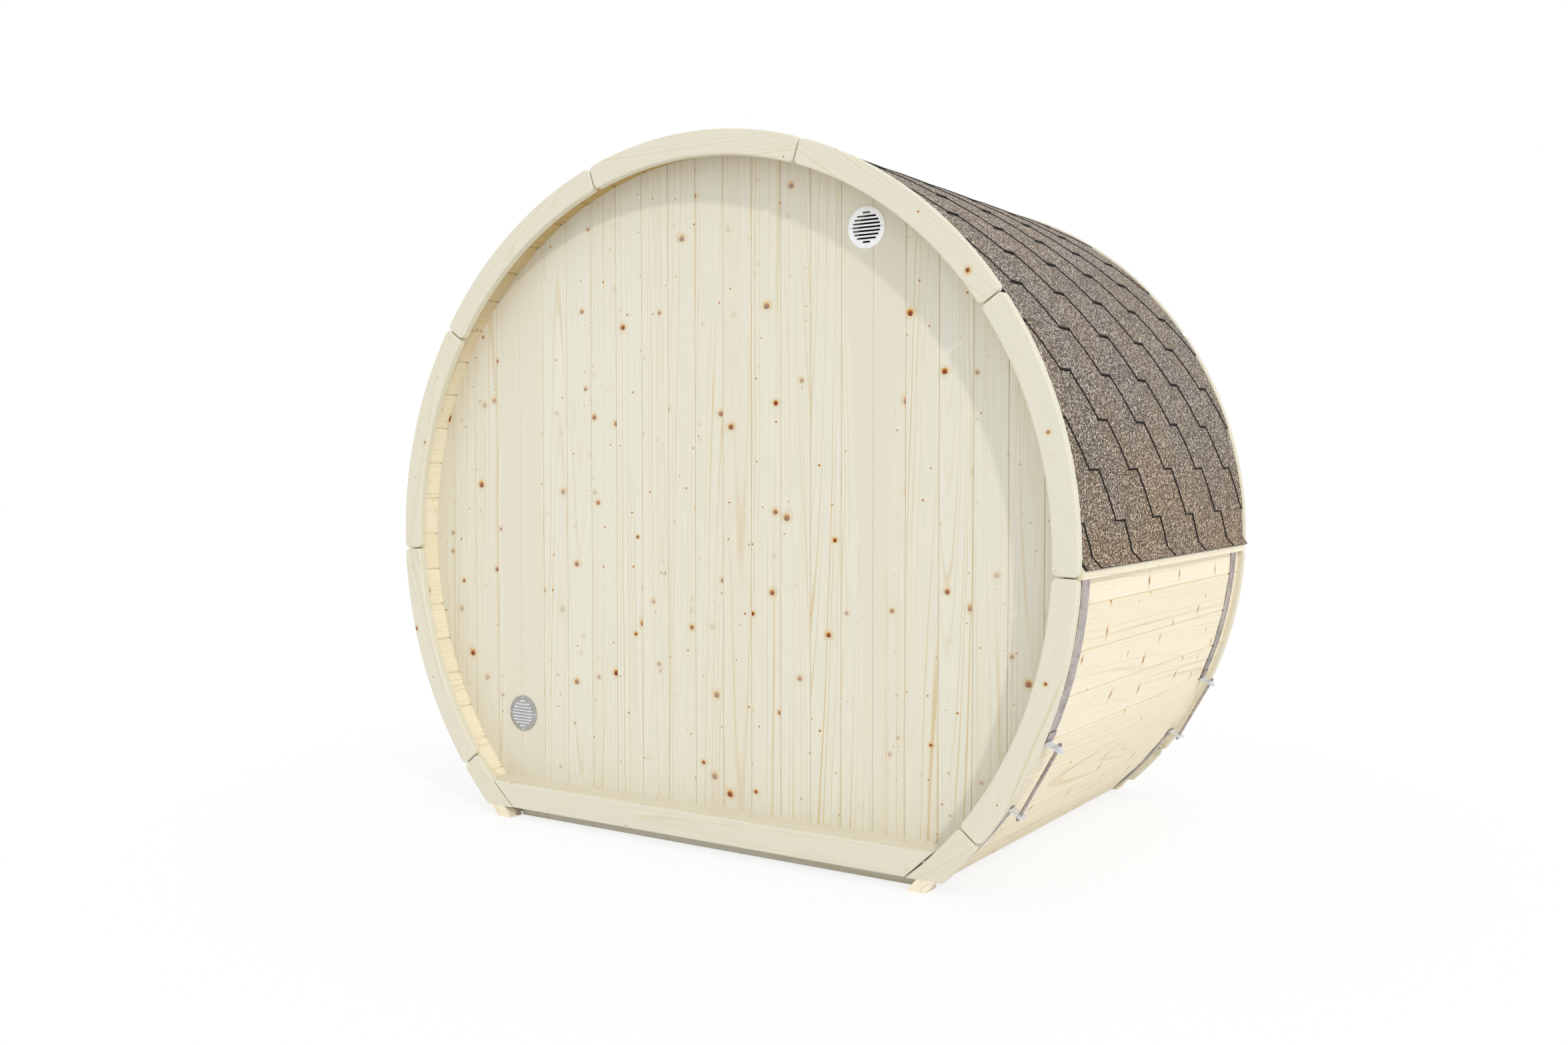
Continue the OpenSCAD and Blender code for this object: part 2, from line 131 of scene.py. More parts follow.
class SaunaSizes(PropertyGroup):
    """Sizes of the boards, the roof covering and the metalwork."""

    stave_pitch: angle("Stave pitch", "Angle that one stave covers", 6)
    stave_t: length("Stave thickness", "Thickness of a stave", 0.036)
    stave_edge: length("Stave edge", "Chamfer along the edges of a stave", 0.0045)
    ring_w: length("Ring width", "Width of a ring board across the radius", 0.076)
    ring_piece: angle("Ring piece", "Angle that one full ring piece covers", 36.9)
    ring_gap: length("Ring gap", "Gap at each joint of a ring", 0.004)
    ring_corner: length("Ring corner", "Radius of the corners of a ring piece", 0.017)
    ring_round: length("Ring rounding", "Radius along the edges of a ring piece", 0.005)
    ring_steps: IntProperty(name="Ring steps", description="Flats along one ring piece", default=18)
    board_pitch: length("Wall board pitch", "Width of a wall board between its joints", 0.106)
    board_gap: length("Wall board gap", "Gap in a joint between wall boards", 0.0004)
    board_groove: length("Wall board groove", "Chamfer of a joint between wall boards", 0.0018)
    bearer_t: length("Bearer thickness", "Thickness of a bearer along the barrel", 0.045)
    bearer_inset: length("Bearer inset", "Distance from an end to the nearest bearer", 0.056)
    foot_slope: angle("Foot slope", "Slope of the stave that a foot continues", 51)
    plank_edge: length("Plank edge", "Rounding along the edges of plain planks", 0.003)
    course_h: length("Course height", "Height of a shingle course along the curve", 0.141)
    eave_course: length("Lowest course", "Height of the lowest course edge above the diameter", 0.092)
    tab_period: length("Tab period", "Distance from one shingle tab to the next", 0.308)
    tab_edge: length("Tab edge", "Length of the straight lower edge of a tab", 0.078)
    tab_start: length("Tab start", "Place along the barrel of the middle of a tab", 0.004)
    shingle_t: length("Shingle thickness", "Thickness of one layer of shingle", 0.004)
    shingle_cut: length("Shingle cut", "Bare bitumen along the cut edges of a shingle", 0.0024)
    ridge_press: FloatProperty(
        name="Ridge press", description="Share by which the layers lie flatter at the ridge than at the eave",
        default=0.4, min=0.0, max=0.6, subtype="FACTOR",
    )
    ridge_half: length("Ridge cap", "Half the width of the caps along the ridge", 0.13)
    ridge_caps: IntProperty(name="Ridge caps", description="Caps along the ridge", default=7)
    cap_reach: FloatProperty(
        name="Cap reach", description="Length of a ridge cap, in steps from one cap to the next", default=1.3
    )
    batten_face: length("Batten face", "Height of the upright face of an eave batten", 0.024)
    batten_edge: length("Batten edge", "Rounding along the edges of an eave batten", 0.0015)
    band_t: length("Band thickness", "Thickness of a steel band", 0.002)
    band_fit: length("Band fit", "Gap between the staves and a band", 0.0003)
    tensioner: angle("Tensioner", "Angle of the middle of a tensioner below the horizontal", 29)
    lug_span: length("Lug span", "Distance between the two lugs of a tensioner", 0.216)
    lug_t: length("Lug thickness", "Thickness of a lug", 0.003)
    lug_end: length("Lug end", "Radius of the rounded end of a lug", 0.018)
    lug_bend: length("Lug bend", "Radius of the bend of a lug", 0.005)
    lug_lap: length("Lug lap", "Length of a lug that lies on the band", 0.03)
    lug_inset: length("Lug inset", "Distance from an edge of the band to a lug", 0.003)
    rod_out: length("Rod distance", "Distance from the band to the middle of the rod", 0.027)
    rod_d: length("Rod diameter", "Diameter of a tensioner rod", 0.01)
    rod_play: length("Rod play", "Gap round a rod in the hole of a lug", 0.0005)
    vent_hole: length("Vent hole", "Diameter of the hole behind a vent", 0.1)
    vent_t: length("Vent thickness", "Thickness of the plate of a vent", 0.003)
    vent_field: length("Vent field", "Radius of the round field of slots", 0.0465)
    vent_slots: IntProperty(name="Vent slots", description="Slots in a vent", default=9)
    vent_slot: length("Vent slot", "Height of one slot of a vent", 0.0056)
    vent_pitch: length("Vent pitch", "Distance from one slot to the next", 0.0105)
    louvre: angle("Louvre", "Slope of the lower vent's louvres", 35)
    vent_screw: length("Vent screw", "Diameter of the head of a vent screw", 0.0055)
    vent_screw_h: length("Vent screw height", "Height of the head of a vent screw", 0.0016)
    screw_edge: length("Screw edge", "Rounding of the rim of a screw head", 0.0007)
    door_gap: length("Door gap", "Gap between the door leaf and its frame", 0.003)
    hinge_h: length("Hinge height", "Height of a hinge", 0.1)
    hinge_t: length("Hinge thickness", "Thickness of a hinge plate", 0.003)
    hinge_edge: length("Hinge edge", "Rounding of the plates and knuckles of a hinge", 0.0008)
    hinge_screw: length("Hinge screw", "Diameter of the head of a hinge screw", 0.007)
    hinge_screw_h: length("Hinge screw height", "Height of the head of a hinge screw", 0.002)
    hinge_screw_off: length("Hinge screw offset", "Distance of a screw from the middle of its plate", 0.006)
    knuckle_d: length("Knuckle", "Diameter of a hinge knuckle", 0.014)
    knuckle_gap: length("Knuckle gap", "Gap between the knuckles of a hinge", 0.0005)


class SaunaColours(PropertyGroup):
    """Colours of the finishes."""

    stave: tint("Staves", "Planed timber of the staves", colour(243, 234, 211))
    wall: tint("Wall boards", "Planed timber of the end walls", colour(226, 223, 208))
    ring: tint("Rings", "Planed timber of the end rings", colour(222, 218, 201))
    streak: tint("Growth lines", "Darker lines of the growth rings", colour(210, 188, 144))
    knot: tint("Knots", "Orange-brown rims of the knots", colour(208, 148, 52))
    heart: tint("Knot hearts", "Dark red-brown hearts of the knots", colour(128, 52, 16))
    shingle: tint("Shingle", "Granules of the shingles", colour(102, 90, 78))
    granule: tint("Pale granules", "Pale granules among the rest", colour(212, 202, 190))
    bitumen: tint("Bitumen", "Cut edges of the shingles", colour(16, 11, 9))
    galvanised: tint("Galvanised steel", "Steel bands", colour(188, 178, 173))
    zinc: tint("Zinc", "Rods, nuts, screws and hinges", colour(222, 225, 230))
    plate: tint("Vent plate", "Galvanised plate of the lower vent", colour(176, 175, 172))
    white: tint("White paint", "Upper vent", colour(250, 251, 252))


class NodeBench:
    """Adds and links shader nodes in one tree."""

    def __init__(self, tree):
        self.tree = tree

    def add(self, kind, inputs=None, **settings):
        node = self.tree.nodes.new(kind)
        for name, value in settings.items():
            setattr(node, name, value)
        for key, value in (inputs or {}).items():
            self.feed(node.inputs[key], value)
        return node

    def feed(self, socket, value):
        if isinstance(value, bpy.types.NodeSocket):
            self.tree.links.new(value, socket)
        else:
            socket.default_value = value

    def group(self, name, inputs):
        return self.add("ShaderNodeGroup", inputs, node_tree=bpy.data.node_groups[name]).outputs

    def place(self):
        return self.add("ShaderNodeTexCoord").outputs["Object"]

    def math(self, operation, *values):
        return self.add("ShaderNodeMath", dict(enumerate(values)), operation=operation).outputs[0]

    def vector(self, operation, *values):
        node = self.add("ShaderNodeVectorMath", dict(enumerate(values)), operation=operation)
        return node.outputs["Value" if operation == "LENGTH" else "Vector"]

    def stretch(self, vector, x, y, z):
        return self.vector("MULTIPLY", vector, (x, y, z))

    def split(self, vector):
        return self.add("ShaderNodeSeparateXYZ", {"Vector": vector}).outputs

    def join(self, x, y, z):
        return self.add("ShaderNodeCombineXYZ", {"X": x, "Y": y, "Z": z}).outputs[0]

    def noise(self, vector, scale, detail=2.0):
        inputs = {"Vector": vector, "Scale": scale, "Detail": detail}
        return self.add("ShaderNodeTexNoise", inputs).outputs[0]

    def between(self, value, low, high, to_low=0.0, to_high=1.0):
        inputs = {"Value": value, "From Min": low, "From Max": high, "To Min": to_low, "To Max": to_high}
        return self.add("ShaderNodeMapRange", inputs, interpolation_type="SMOOTHSTEP").outputs[0]

    def mix(self, factor, first, second, blend="MIX"):
        node = self.add("ShaderNodeMix", data_type="RGBA", blend_type=blend)
        for index, value in ((0, factor), (6, first), (7, second)):
            self.feed(node.inputs[index], value)
        return node.outputs[2]

    def multiply(self, base, tone):
        return self.mix(1.0, base, tone, blend="MULTIPLY")

    def shaded(self, base, shade):
        return self.multiply(base, self.join(shade, shade, shade))


def rgba(value):
    """A colour with full cover, as colour sockets take it."""
    return (*value, 1.0)


def new_group(name, inputs, outputs):
    """An empty shader node group with its sockets, as (bench, input sockets, output node)."""
    group = bpy.data.node_groups.new(name, "ShaderNodeTree")
    for label, kind in inputs.items():
        group.interface.new_socket(name=label, in_out="INPUT", socket_type=kind)
    for label, kind in outputs.items():
        group.interface.new_socket(name=label, in_out="OUTPUT", socket_type=kind)
    bench = NodeBench(group)
    return bench, bench.add("NodeGroupInput").outputs, bench.add("NodeGroupOutput")


def knots(bench, place, cell, share, size, stretch):
    """One knot at most in each cell of a long grid, as (reach from its middle, offset from it)."""
    scaled = bench.stretch(place, 1 / cell[0], 1 / cell[1], 0)
    cells = bench.add(
        "ShaderNodeTexVoronoi", {"Vector": scaled, "Scale": 1.0, "Randomness": 0.85},
        voronoi_dimensions="2D", feature="F1",
    )
    offset = bench.stretch(bench.vector("SUBTRACT", scaled, cells.outputs["Position"]), *cell, 0)
    chance, growth, _ = bench.split(cells.outputs["Color"])
    present = bench.math("LESS_THAN", chance, share)
    radius = bench.math("MULTIPLY", bench.math("MULTIPLY_ADD", growth, 0.5, 0.5), size)
    radius = bench.math("MAXIMUM", bench.math("MULTIPLY", radius, present), 0.0002)
    ragged = bench.math("MULTIPLY_ADD", bench.noise(place, 160.0), 0.5, 0.75)
    distance = bench.vector("LENGTH", bench.vector("MULTIPLY", offset, stretch))
    return bench.math("DIVIDE", bench.math("MULTIPLY", distance, ragged), radius), offset


def board_grain_group():
    """Growth lines, fibres and knots of a planed softwood board that lies along X, with painted shade along
    its long edges.
    """
    bench, given, out = new_group(
        "Board grain",
        {
            "Grain": "NodeSocketVector", "Board": "NodeSocketFloat",
            "Pale": "NodeSocketColor", "Streak": "NodeSocketColor", "Knot": "NodeSocketColor",
            "Heart": "NodeSocketColor", "Streak Strength": "NodeSocketFloat",
            "Knot Share": "NodeSocketFloat", "Knot Size": "NodeSocketFloat",
            "Knot Stretch": "NodeSocketVector", "Half Width": "NodeSocketFloat",
        },
        {"Color": "NodeSocketColor", "Roughness": "NodeSocketFloat", "Height": "NodeSocketFloat"},
    )
    own = bench.add("ShaderNodeTexWhiteNoise", {"W": given["Board"]}, noise_dimensions="1D")
    first, second, third = bench.split(own.outputs["Color"])
    shift = bench.add("ShaderNodeVectorMath", {0: own.outputs["Color"], "Scale": 40.0}, operation="SCALE")
    place = bench.vector("ADD", given["Grain"], shift.outputs[0])
    along, across, depth = bench.split(given["Grain"])

    # Large knots and pin knots, each on a grid of its own
    knot_cell, pin_cell, pin_share = (0.3, 0.106), (0.13, 0.09), 0.36
    share, size, stretch = given["Knot Share"], given["Knot Size"], given["Knot Stretch"]
    reach, offset = knots(bench, place, knot_cell, share, size, stretch)
    pin_size = bench.math("MULTIPLY", size, pin_share)
    pin_reach, _ = knots(bench, place, pin_cell, share, pin_size, stretch)
    knot = bench.between(bench.math("MINIMUM", reach, pin_reach), 1.1, 0.85)
    pin = bench.between(pin_reach, 1.0, 0.6, 0.0, 0.6)
    low_side = bench.math("MULTIPLY", bench.split(offset)[0], 40.0)
    heart = bench.math("MULTIPLY", bench.between(bench.math("ADD", reach, low_side), 0.85, 0.5), knot)
    heart = bench.math("MAXIMUM", heart, pin)
    halo = bench.between(reach, 2.6, 0.9)

    # Growth rings about a pith that lies below the board and runs slightly askew
    aside = bench.split(offset)[1]
    wobble = bench.noise(bench.stretch(place, 1.1, 7, 7), 1.0)
    bent = bench.math("MULTIPLY_ADD", wobble, 0.03, across)
    bent = bench.math("SUBTRACT", bent, bench.math("MULTIPLY", bench.math("MULTIPLY", aside, halo), 0.8))
    from_pith = bench.math("SUBTRACT", bent, bench.math("MULTIPLY_ADD", first, 0.3, -0.14))
    below = bench.math("MULTIPLY_ADD", second, 0.1, 0.01)
    below = bench.math("ADD", below, depth)
    below = bench.math("MULTIPLY_ADD", along, bench.math("MULTIPLY_ADD", third, 0.08, -0.04), below)
    ring = bench.vector("LENGTH", bench.join(from_pith, below, 0.0))
    lines_per_metre, own_start = 190.0, bench.math("MULTIPLY", first, 90.0)
    lines = bench.add(
        "ShaderNodeTexNoise",
        {"W": bench.math("MULTIPLY_ADD", ring, lines_per_metre, own_start), "Scale": 1.0, "Detail": 1.5},
        noise_dimensions="1D",
    ).outputs[0]
    late = bench.between(lines, 0.52, 0.72)
    region = bench.between(bench.noise(bench.stretch(place, 0.9, 11, 11), 1.0, 1.0), 0.32, 0.68, 0.15, 1.0)
    streak = bench.math("MULTIPLY", bench.math("MULTIPLY", late, region), given["Streak Strength"])
    fibre = bench.noise(bench.stretch(place, 9, 420, 420), 1.0)

    # Colours from the bare board to the heart of a knot
    base = bench.mix(bench.math("MULTIPLY", second, 0.16), given["Pale"], given["Streak"])
    base = bench.mix(streak, base, given["Streak"])
    shade = bench.between(fibre, 0.25, 0.75, 0.955, 1.02)
    base = bench.shaded(base, shade)
    base = bench.mix(bench.math("MULTIPLY", halo, 0.6), base, given["Streak"])
    # Painted shade: each board turns darker towards its long edges, into the joints with its neighbours
    rim = bench.math("SUBTRACT", bench.math("ABSOLUTE", across), given["Half Width"])
    base = bench.mix(bench.between(rim, -0.004, -0.001, 0.0, 0.28), base, given["Streak"])
    base = bench.mix(knot, base, given["Knot"])
    base = bench.mix(heart, base, given["Heart"])
    bench.feed(out.inputs["Color"], base)
    bench.feed(out.inputs["Roughness"], bench.between(fibre, 0.2, 0.8, 0.5, 0.66))
    relief = bench.math("MULTIPLY_ADD", fibre, 0.5, bench.math("MULTIPLY", late, 0.4))
    bench.feed(out.inputs["Height"], relief)


def granule_group():
    """Mineral granules pressed into a bitumen sheet."""
    bench, given, out = new_group(
        "Granules",
        {"Vector": "NodeSocketVector", "Main": "NodeSocketColor", "Pale": "NodeSocketColor"},
        {"Color": "NodeSocketColor", "Height": "NodeSocketFloat"},
    )
    grains = bench.add("ShaderNodeTexVoronoi", {"Vector": given["Vector"], "Scale": 290.0}, feature="F1")
    chance, tone, _ = bench.split(grains.outputs["Color"])
    clump = bench.noise(given["Vector"], 110.0, 2.0)
    patch = bench.noise(given["Vector"], 4.5, 2.0)
    shade = bench.between(tone, 0.0, 1.0, 0.3, 1.5)
    base = bench.shaded(given["Main"], shade)
    warm = bench.between(patch, 0.38, 0.64)
    cool_tone, warm_tone = (0.9, 0.94, 0.98, 1.0), (1.14, 1.02, 0.9, 1.0)
    base = bench.multiply(base, bench.mix(warm, cool_tone, warm_tone))
    bright = bench.between(bench.math("MULTIPLY_ADD", clump, 0.5, chance), 1.0, 1.12)
    base = bench.mix(bright, base, given["Pale"])
    bench.feed(out.inputs["Color"], base)
    bench.feed(out.inputs["Height"], bench.math("SUBTRACT", 1.0, grains.outputs["Distance"]))


def patina_group():
    """Cloudy tone and fine rolling marks of bare metal or paint."""
    bench, given, out = new_group(
        "Patina",
        {"Vector": "NodeSocketVector", "Main": "NodeSocketColor", "Depth": "NodeSocketFloat"},
        {"Color": "NodeSocketColor", "Roughness": "NodeSocketFloat", "Height": "NodeSocketFloat"},
    )
    clouds = bench.noise(given["Vector"], 22.0, 4.0)
    flakes = bench.add("ShaderNodeTexVoronoi", {"Vector": given["Vector"], "Scale": 140.0}, feature="F1")
    flake = bench.split(flakes.outputs["Color"])[0]
    broad = bench.noise(bench.stretch(given["Vector"], 0.4, 0.4, 3.4), 1.0, 1.0)
    clouds = bench.math("MULTIPLY_ADD", bench.math("SUBTRACT", broad, 0.5), 1.6, clouds)
    blend = bench.math("MULTIPLY_ADD", flake, 0.35, clouds)
    low = bench.math("SUBTRACT", 1.0, given["Depth"])
    limits = {"Value": blend, "From Min": 0.3, "From Max": 0.95, "To Min": low, "To Max": 1.05}
    shade = bench.add("ShaderNodeMapRange", limits).outputs[0]
    bench.feed(out.inputs["Color"], bench.shaded(given["Main"], shade))
    bench.feed(out.inputs["Roughness"], bench.between(blend, 0.3, 0.9, 0.5, 0.32))
    bench.feed(out.inputs["Height"], bench.noise(given["Vector"], 300.0, 2.0))


def new_finish(name):
    """An empty material, as (bench, principled shader)."""
    material = bpy.data.materials.new(name)
    material.use_nodes = True
    return NodeBench(material.node_tree), material.node_tree.nodes["Principled BSDF"]


def bump(bench, shader, height, strength, distance):
    """Feeds a height to a shader's normal."""
    inputs = {"Height": height, "Strength": strength, "Distance": distance}
    bench.feed(shader.inputs["Normal"], bench.add("ShaderNodeBump", inputs).outputs["Normal"])


def painted_inner_shade(bench, base):
    """Painted shade: the inside of the staves turns darker and yellower towards the top of the barrel, where
    shade falls.
    """
    skin, depth, start, inner_shade_tone = 0.008, 0.02, 0.2, (0.6, 0.46, 0.22, 1.0)
    x, _, z = bench.split(bench.place())
    rise = bench.math("SUBTRACT", z, CENTRE_Z)
    radius = bench.vector("LENGTH", bench.join(x, 0.0, rise))
    inside = bench.between(radius, STAVE_R - skin, STAVE_R - depth)
    top = bench.between(rise, start * STAVE_R, STAVE_R)
    return bench.mix(bench.math("MULTIPLY", inside, top), base, inner_shade_tone, blend="MULTIPLY")


def timber(name, pale, colours, strength, share, knot_size, knot_stretch, width):
    """Planed softwood that reads each board's own grain coordinates."""
    bench, shader = new_finish(name)
    grain = bench.group("Board grain", {
        "Grain": bench.add("ShaderNodeAttribute", attribute_name="grain").outputs["Vector"],
        "Board": bench.add("ShaderNodeAttribute", attribute_name="board").outputs["Fac"],
        "Pale": rgba(pale), "Streak": rgba(colours.streak), "Knot": rgba(colours.knot),
        "Heart": rgba(colours.heart), "Streak Strength": strength, "Knot Share": share,
        "Knot Size": knot_size, "Knot Stretch": knot_stretch, "Half Width": width / 2,
    })
    base = grain["Color"]
    # The staves' inner faces get painted shade towards the top of the barrel
    bench.feed(shader.inputs["Base Color"], painted_inner_shade(bench, base) if name == "planed_staves" else base)
    bench.feed(shader.inputs["Roughness"], grain["Roughness"])
    shader.inputs["Specular IOR Level"].default_value = 0.3
    bump(bench, shader, grain["Height"], strength=0.25, distance=0.0006)


def metal(name, main, depth, metallic):
    """Zinc coated steel or painted sheet."""
    bench, shader = new_finish(name)
    patina = bench.group("Patina", {"Vector": bench.place(), "Main": rgba(main), "Depth": depth})
    bench.feed(shader.inputs["Base Color"], patina["Color"])
    bench.feed(shader.inputs["Roughness"], patina["Roughness"])
    shader.inputs["Metallic"].default_value = metallic
    bump(bench, shader, patina["Height"], strength=0.1, distance=0.0003)


def granules(name, colours):
    """Granulated face of a shingle."""
    bench, shader = new_finish(name)
    place = bench.place()
    inputs = {"Vector": place, "Main": rgba(colours.shingle), "Pale": rgba(colours.granule)}
    face = bench.group("Granules", inputs)
    # Painted light and shade: the granules turn paler towards the ridge, where more light falls, and browner
    # towards the eave
    low_tone, plain_tone, high_tone = (1.06, 0.97, 0.85, 1.0), (1.0, 1.0, 1.0, 1.0), (1.24, 1.23, 1.21, 1.0)
    height = bench.split(place)[2]
    low = bench.mix(bench.between(height, 0.95, 1.45), low_tone, plain_tone)
    painted_height_light = bench.mix(bench.between(height, 1.7, 2.15), low, high_tone)
    bench.feed(shader.inputs["Base Color"], bench.multiply(face["Color"], painted_height_light))
    shader.inputs["Roughness"].default_value = 0.85
    bump(bench, shader, face["Height"], strength=0.6, distance=0.0012)


def bitumen(name, main):
    """Cut edge of a shingle."""
    bench, shader = new_finish(name)
    grit = bench.noise(bench.place(), 400.0, 2.0)
    shade = bench.between(grit, 0.3, 0.8, 0.6, 1.8)
    bench.feed(shader.inputs["Base Color"], bench.shaded(rgba(main), shade))
    bench.feed(shader.inputs["Roughness"], bench.between(grit, 0.2, 0.8, 0.6, 0.9))


def polar(radius, turn, y=0.0):
    """A point of the barrel's cross-section, at an angle above the right-hand horizontal."""
    return Vector((radius * math.cos(turn), y, CENTRE_Z + radius * math.sin(turn)))


def placing(x_axis, y_axis, z_axis, origin):
    """The matrix that takes a piece from its own axes to its place."""
    return Matrix.Translation(origin) @ Matrix((x_axis, y_axis, z_axis)).transposed().to_4x4()


def facing(end):
    """The sign of the direction along Y in which an end looks."""
    return 1 if end == "front" else -1


def on_shell(turn, radius):
    """Lays a board along the barrel: X along it, Y round it and Z outwards."""
    outward = Vector((math.cos(turn), 0, math.sin(turn)))
    return placing((0, 1, 0), (-outward.z, 0, outward.x), outward, AXIS + outward * radius)


def tensioner_place(sizes, y):
    """The tensioner's own axes: X outwards through its middle, Y up round the barrel and Z along it."""
    return Matrix.Translation(AXIS + Vector((0, y, 0))) @ placing(
        (math.cos(sizes.tensioner), 0, -math.sin(sizes.tensioner)),
        (math.sin(sizes.tensioner), 0, math.cos(sizes.tensioner)), (0, -1, 0), (0, 0, 0)
    )


def sweep(bm, profile, start, turn, steps):
    """Carries a closed profile of (radius, y) points round the barrel's axis, and closes its ends."""
    ring = [bm.verts.new(polar(radius, start, y)) for radius, y in profile]
    edges = [bm.edges.new(pair) for pair in zip(ring, ring[1:] + ring[:1])]
    bmesh.ops.spin(bm, geom=ring + edges, cent=AXIS, axis=(0, -1, 0), angle=turn, steps=steps)
    bmesh.ops.holes_fill(bm, edges=bm.edges, sides=len(profile))
    bmesh.ops.recalc_face_normals(bm, faces=bm.faces)


def on_end(turn, end):
    """Lays a board on an end of the shell: X along the ring, Y outwards from the axis and Z off the end."""
    outward = Vector((math.cos(turn), 0, math.sin(turn)))
    off = Vector((0, facing(end), 0))
    return placing(outward.cross(off), outward, off, AXIS + off * SHELL_HALF)


def upright(x, y, z, end):
    """Stands a board up: X upwards and Z off the given end."""
    look = facing(end)
    return placing((0, 0, 1), (look, 0, 0), (0, look, 0), (x, y, z))


def lying(x, y, z):
    """Lays a board across the barrel: X to the right and Z up."""
    return Matrix.Translation((x, y, z))


def long_edges(bm):
    """The edges of a board that run along X."""
    along = 0.95
    return [e for e in bm.edges if abs((e.verts[1].co - e.verts[0].co).normalized().x) > along]


def verts_in(geom):
    """The vertices among what a mesh operator gives back."""
    return [part for part in geom if isinstance(part, bmesh.types.BMVert)]


def paint(bm, index):
    """Gives all faces of a mesh one of the finishes of its piece."""
    for face in bm.faces:
        face.material_index = index
    return bm


def round_off(bm, edges, radius, segments=2):
    """Rounds edges, or chamfers them with one segment."""
    bmesh.ops.bevel(
        bm, geom=list(edges), offset=radius, offset_type="OFFSET", segments=segments,
        profile=0.5, affect="EDGES", material=-1, clamp_overlap=True,
    )


def block(size_x, size_y, size_z, taper_x=1.0, taper_y=1.0):
    """A board about the origin whose outer face lies at Z 0 and whose back is tapered."""
    bm = bmesh.new()
    bmesh.ops.create_cube(bm, size=1)
    bmesh.ops.scale(bm, vec=(size_x, size_y, size_z), verts=bm.verts)
    bmesh.ops.translate(bm, vec=(0, 0, -size_z / 2), verts=bm.verts)
    back = [v for v in bm.verts if v.co.z < -size_z / 2]
    bmesh.ops.scale(bm, vec=(taper_x, taper_y, 1), verts=back)
    return bm


def slice_at(bm, point, normal, clear=False, geom=None, near=TOUCH):
    """Cuts a mesh at a plane, clears what lies beyond it if asked, and gives the edges of the cut."""
    done = bmesh.ops.bisect_plane(
        bm, geom=geom or bm.verts[:] + bm.edges[:] + bm.faces[:], dist=near,
        plane_co=point, plane_no=normal, clear_outer=clear,
    )
    return [part for part in done["geom_cut"] if isinstance(part, bmesh.types.BMEdge)]


def trim(bm, point, normal):
    """Cuts away what lies beyond a plane, and closes the cut."""
    bmesh.ops.holes_fill(bm, edges=slice_at(bm, point, normal, clear=True))


def dowel(diameter, size, edge, segments=32):
    """A round or sided bar along X about the origin, with rounded rims."""
    bm = bmesh.new()
    turn = Matrix.Rotation(math.pi / 2, 4, "Y")
    radius = diameter / 2
    bmesh.ops.create_cone(
        bm, cap_ends=True, segments=segments, radius1=radius, radius2=radius, depth=size, matrix=turn
    )
    rims = [e for e in bm.edges if abs(e.verts[0].co.x - e.verts[1].co.x) < TOUCH]
    round_off(bm, rims, edge)
    return bm


def merge(bm, part, place=Matrix()):
    """Sets a part in its place and adds it to a mesh."""
    bmesh.ops.transform(part, matrix=place, verts=part.verts)
    mesh = bpy.data.meshes.new("part")
    part.to_mesh(mesh)
    part.free()
    bm.from_mesh(mesh)
    bpy.data.meshes.remove(mesh)


def thicken(sheet, thickness):
    """Gives a sheet its thickness by drawing its faces out, and turns all faces outwards."""
    faces = sheet.faces[:]
    lift = faces[0].normal * thickness
    raised = bmesh.ops.extrude_face_region(sheet, geom=faces)["geom"]
    bmesh.ops.translate(sheet, vec=lift, verts=verts_in(raised))
    bmesh.ops.recalc_face_normals(sheet, faces=sheet.faces)


class Boards:
    """Boards gathered into one mesh, each with its own grain coordinates and random number."""

    def __init__(self, name):
        self.name = name
        self.random = random.Random(name)
        self.bm = bmesh.new()
        self.bm.verts.layers.float_vector.new("grain")
        self.bm.verts.layers.float.new("board")

    def add(self, board, place):
        """Takes a board that lies along X about the origin, and sets it in its place."""
        grain = board.verts.layers.float_vector.new("grain")
        number = board.verts.layers.float.new("board")
        own = self.random.random()
        middle = sum((v.co for v in board.verts), Vector()) / len(board.verts)
        for vert in board.verts:
            vert[grain] = vert.co - middle
            vert[number] = own
        merge(self.bm, board, place)

    def piece(self, finish, slot, *nodes):
        return make_piece(self.bm, self.name, [finish], slot, *nodes)


def new_object(bm, name):
    """Turns a mesh into an object of the scene."""
    mesh = bpy.data.meshes.new(name)
    bm.to_mesh(mesh)
    bm.free()
    obj = bpy.data.objects.new(name, mesh)
    bpy.context.scene.collection.objects.link(obj)
    return obj


def make_piece(bm, name, finishes, slot, *nodes):
    """Turns a mesh into a piece that stands for CAD nodes and rides on the body."""
    obj = new_object(bm, name)
    for finish in finishes:
        obj.data.materials.append(bpy.data.materials[finish])
    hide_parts(*nodes)
    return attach(obj, "root")


def smooth_over(obj, degrees):
    """Shades a piece smooth, apart from its sharp edges."""
    obj.data.shade_smooth()
    obj.data.set_sharp_from_angle(angle=math.radians(degrees))


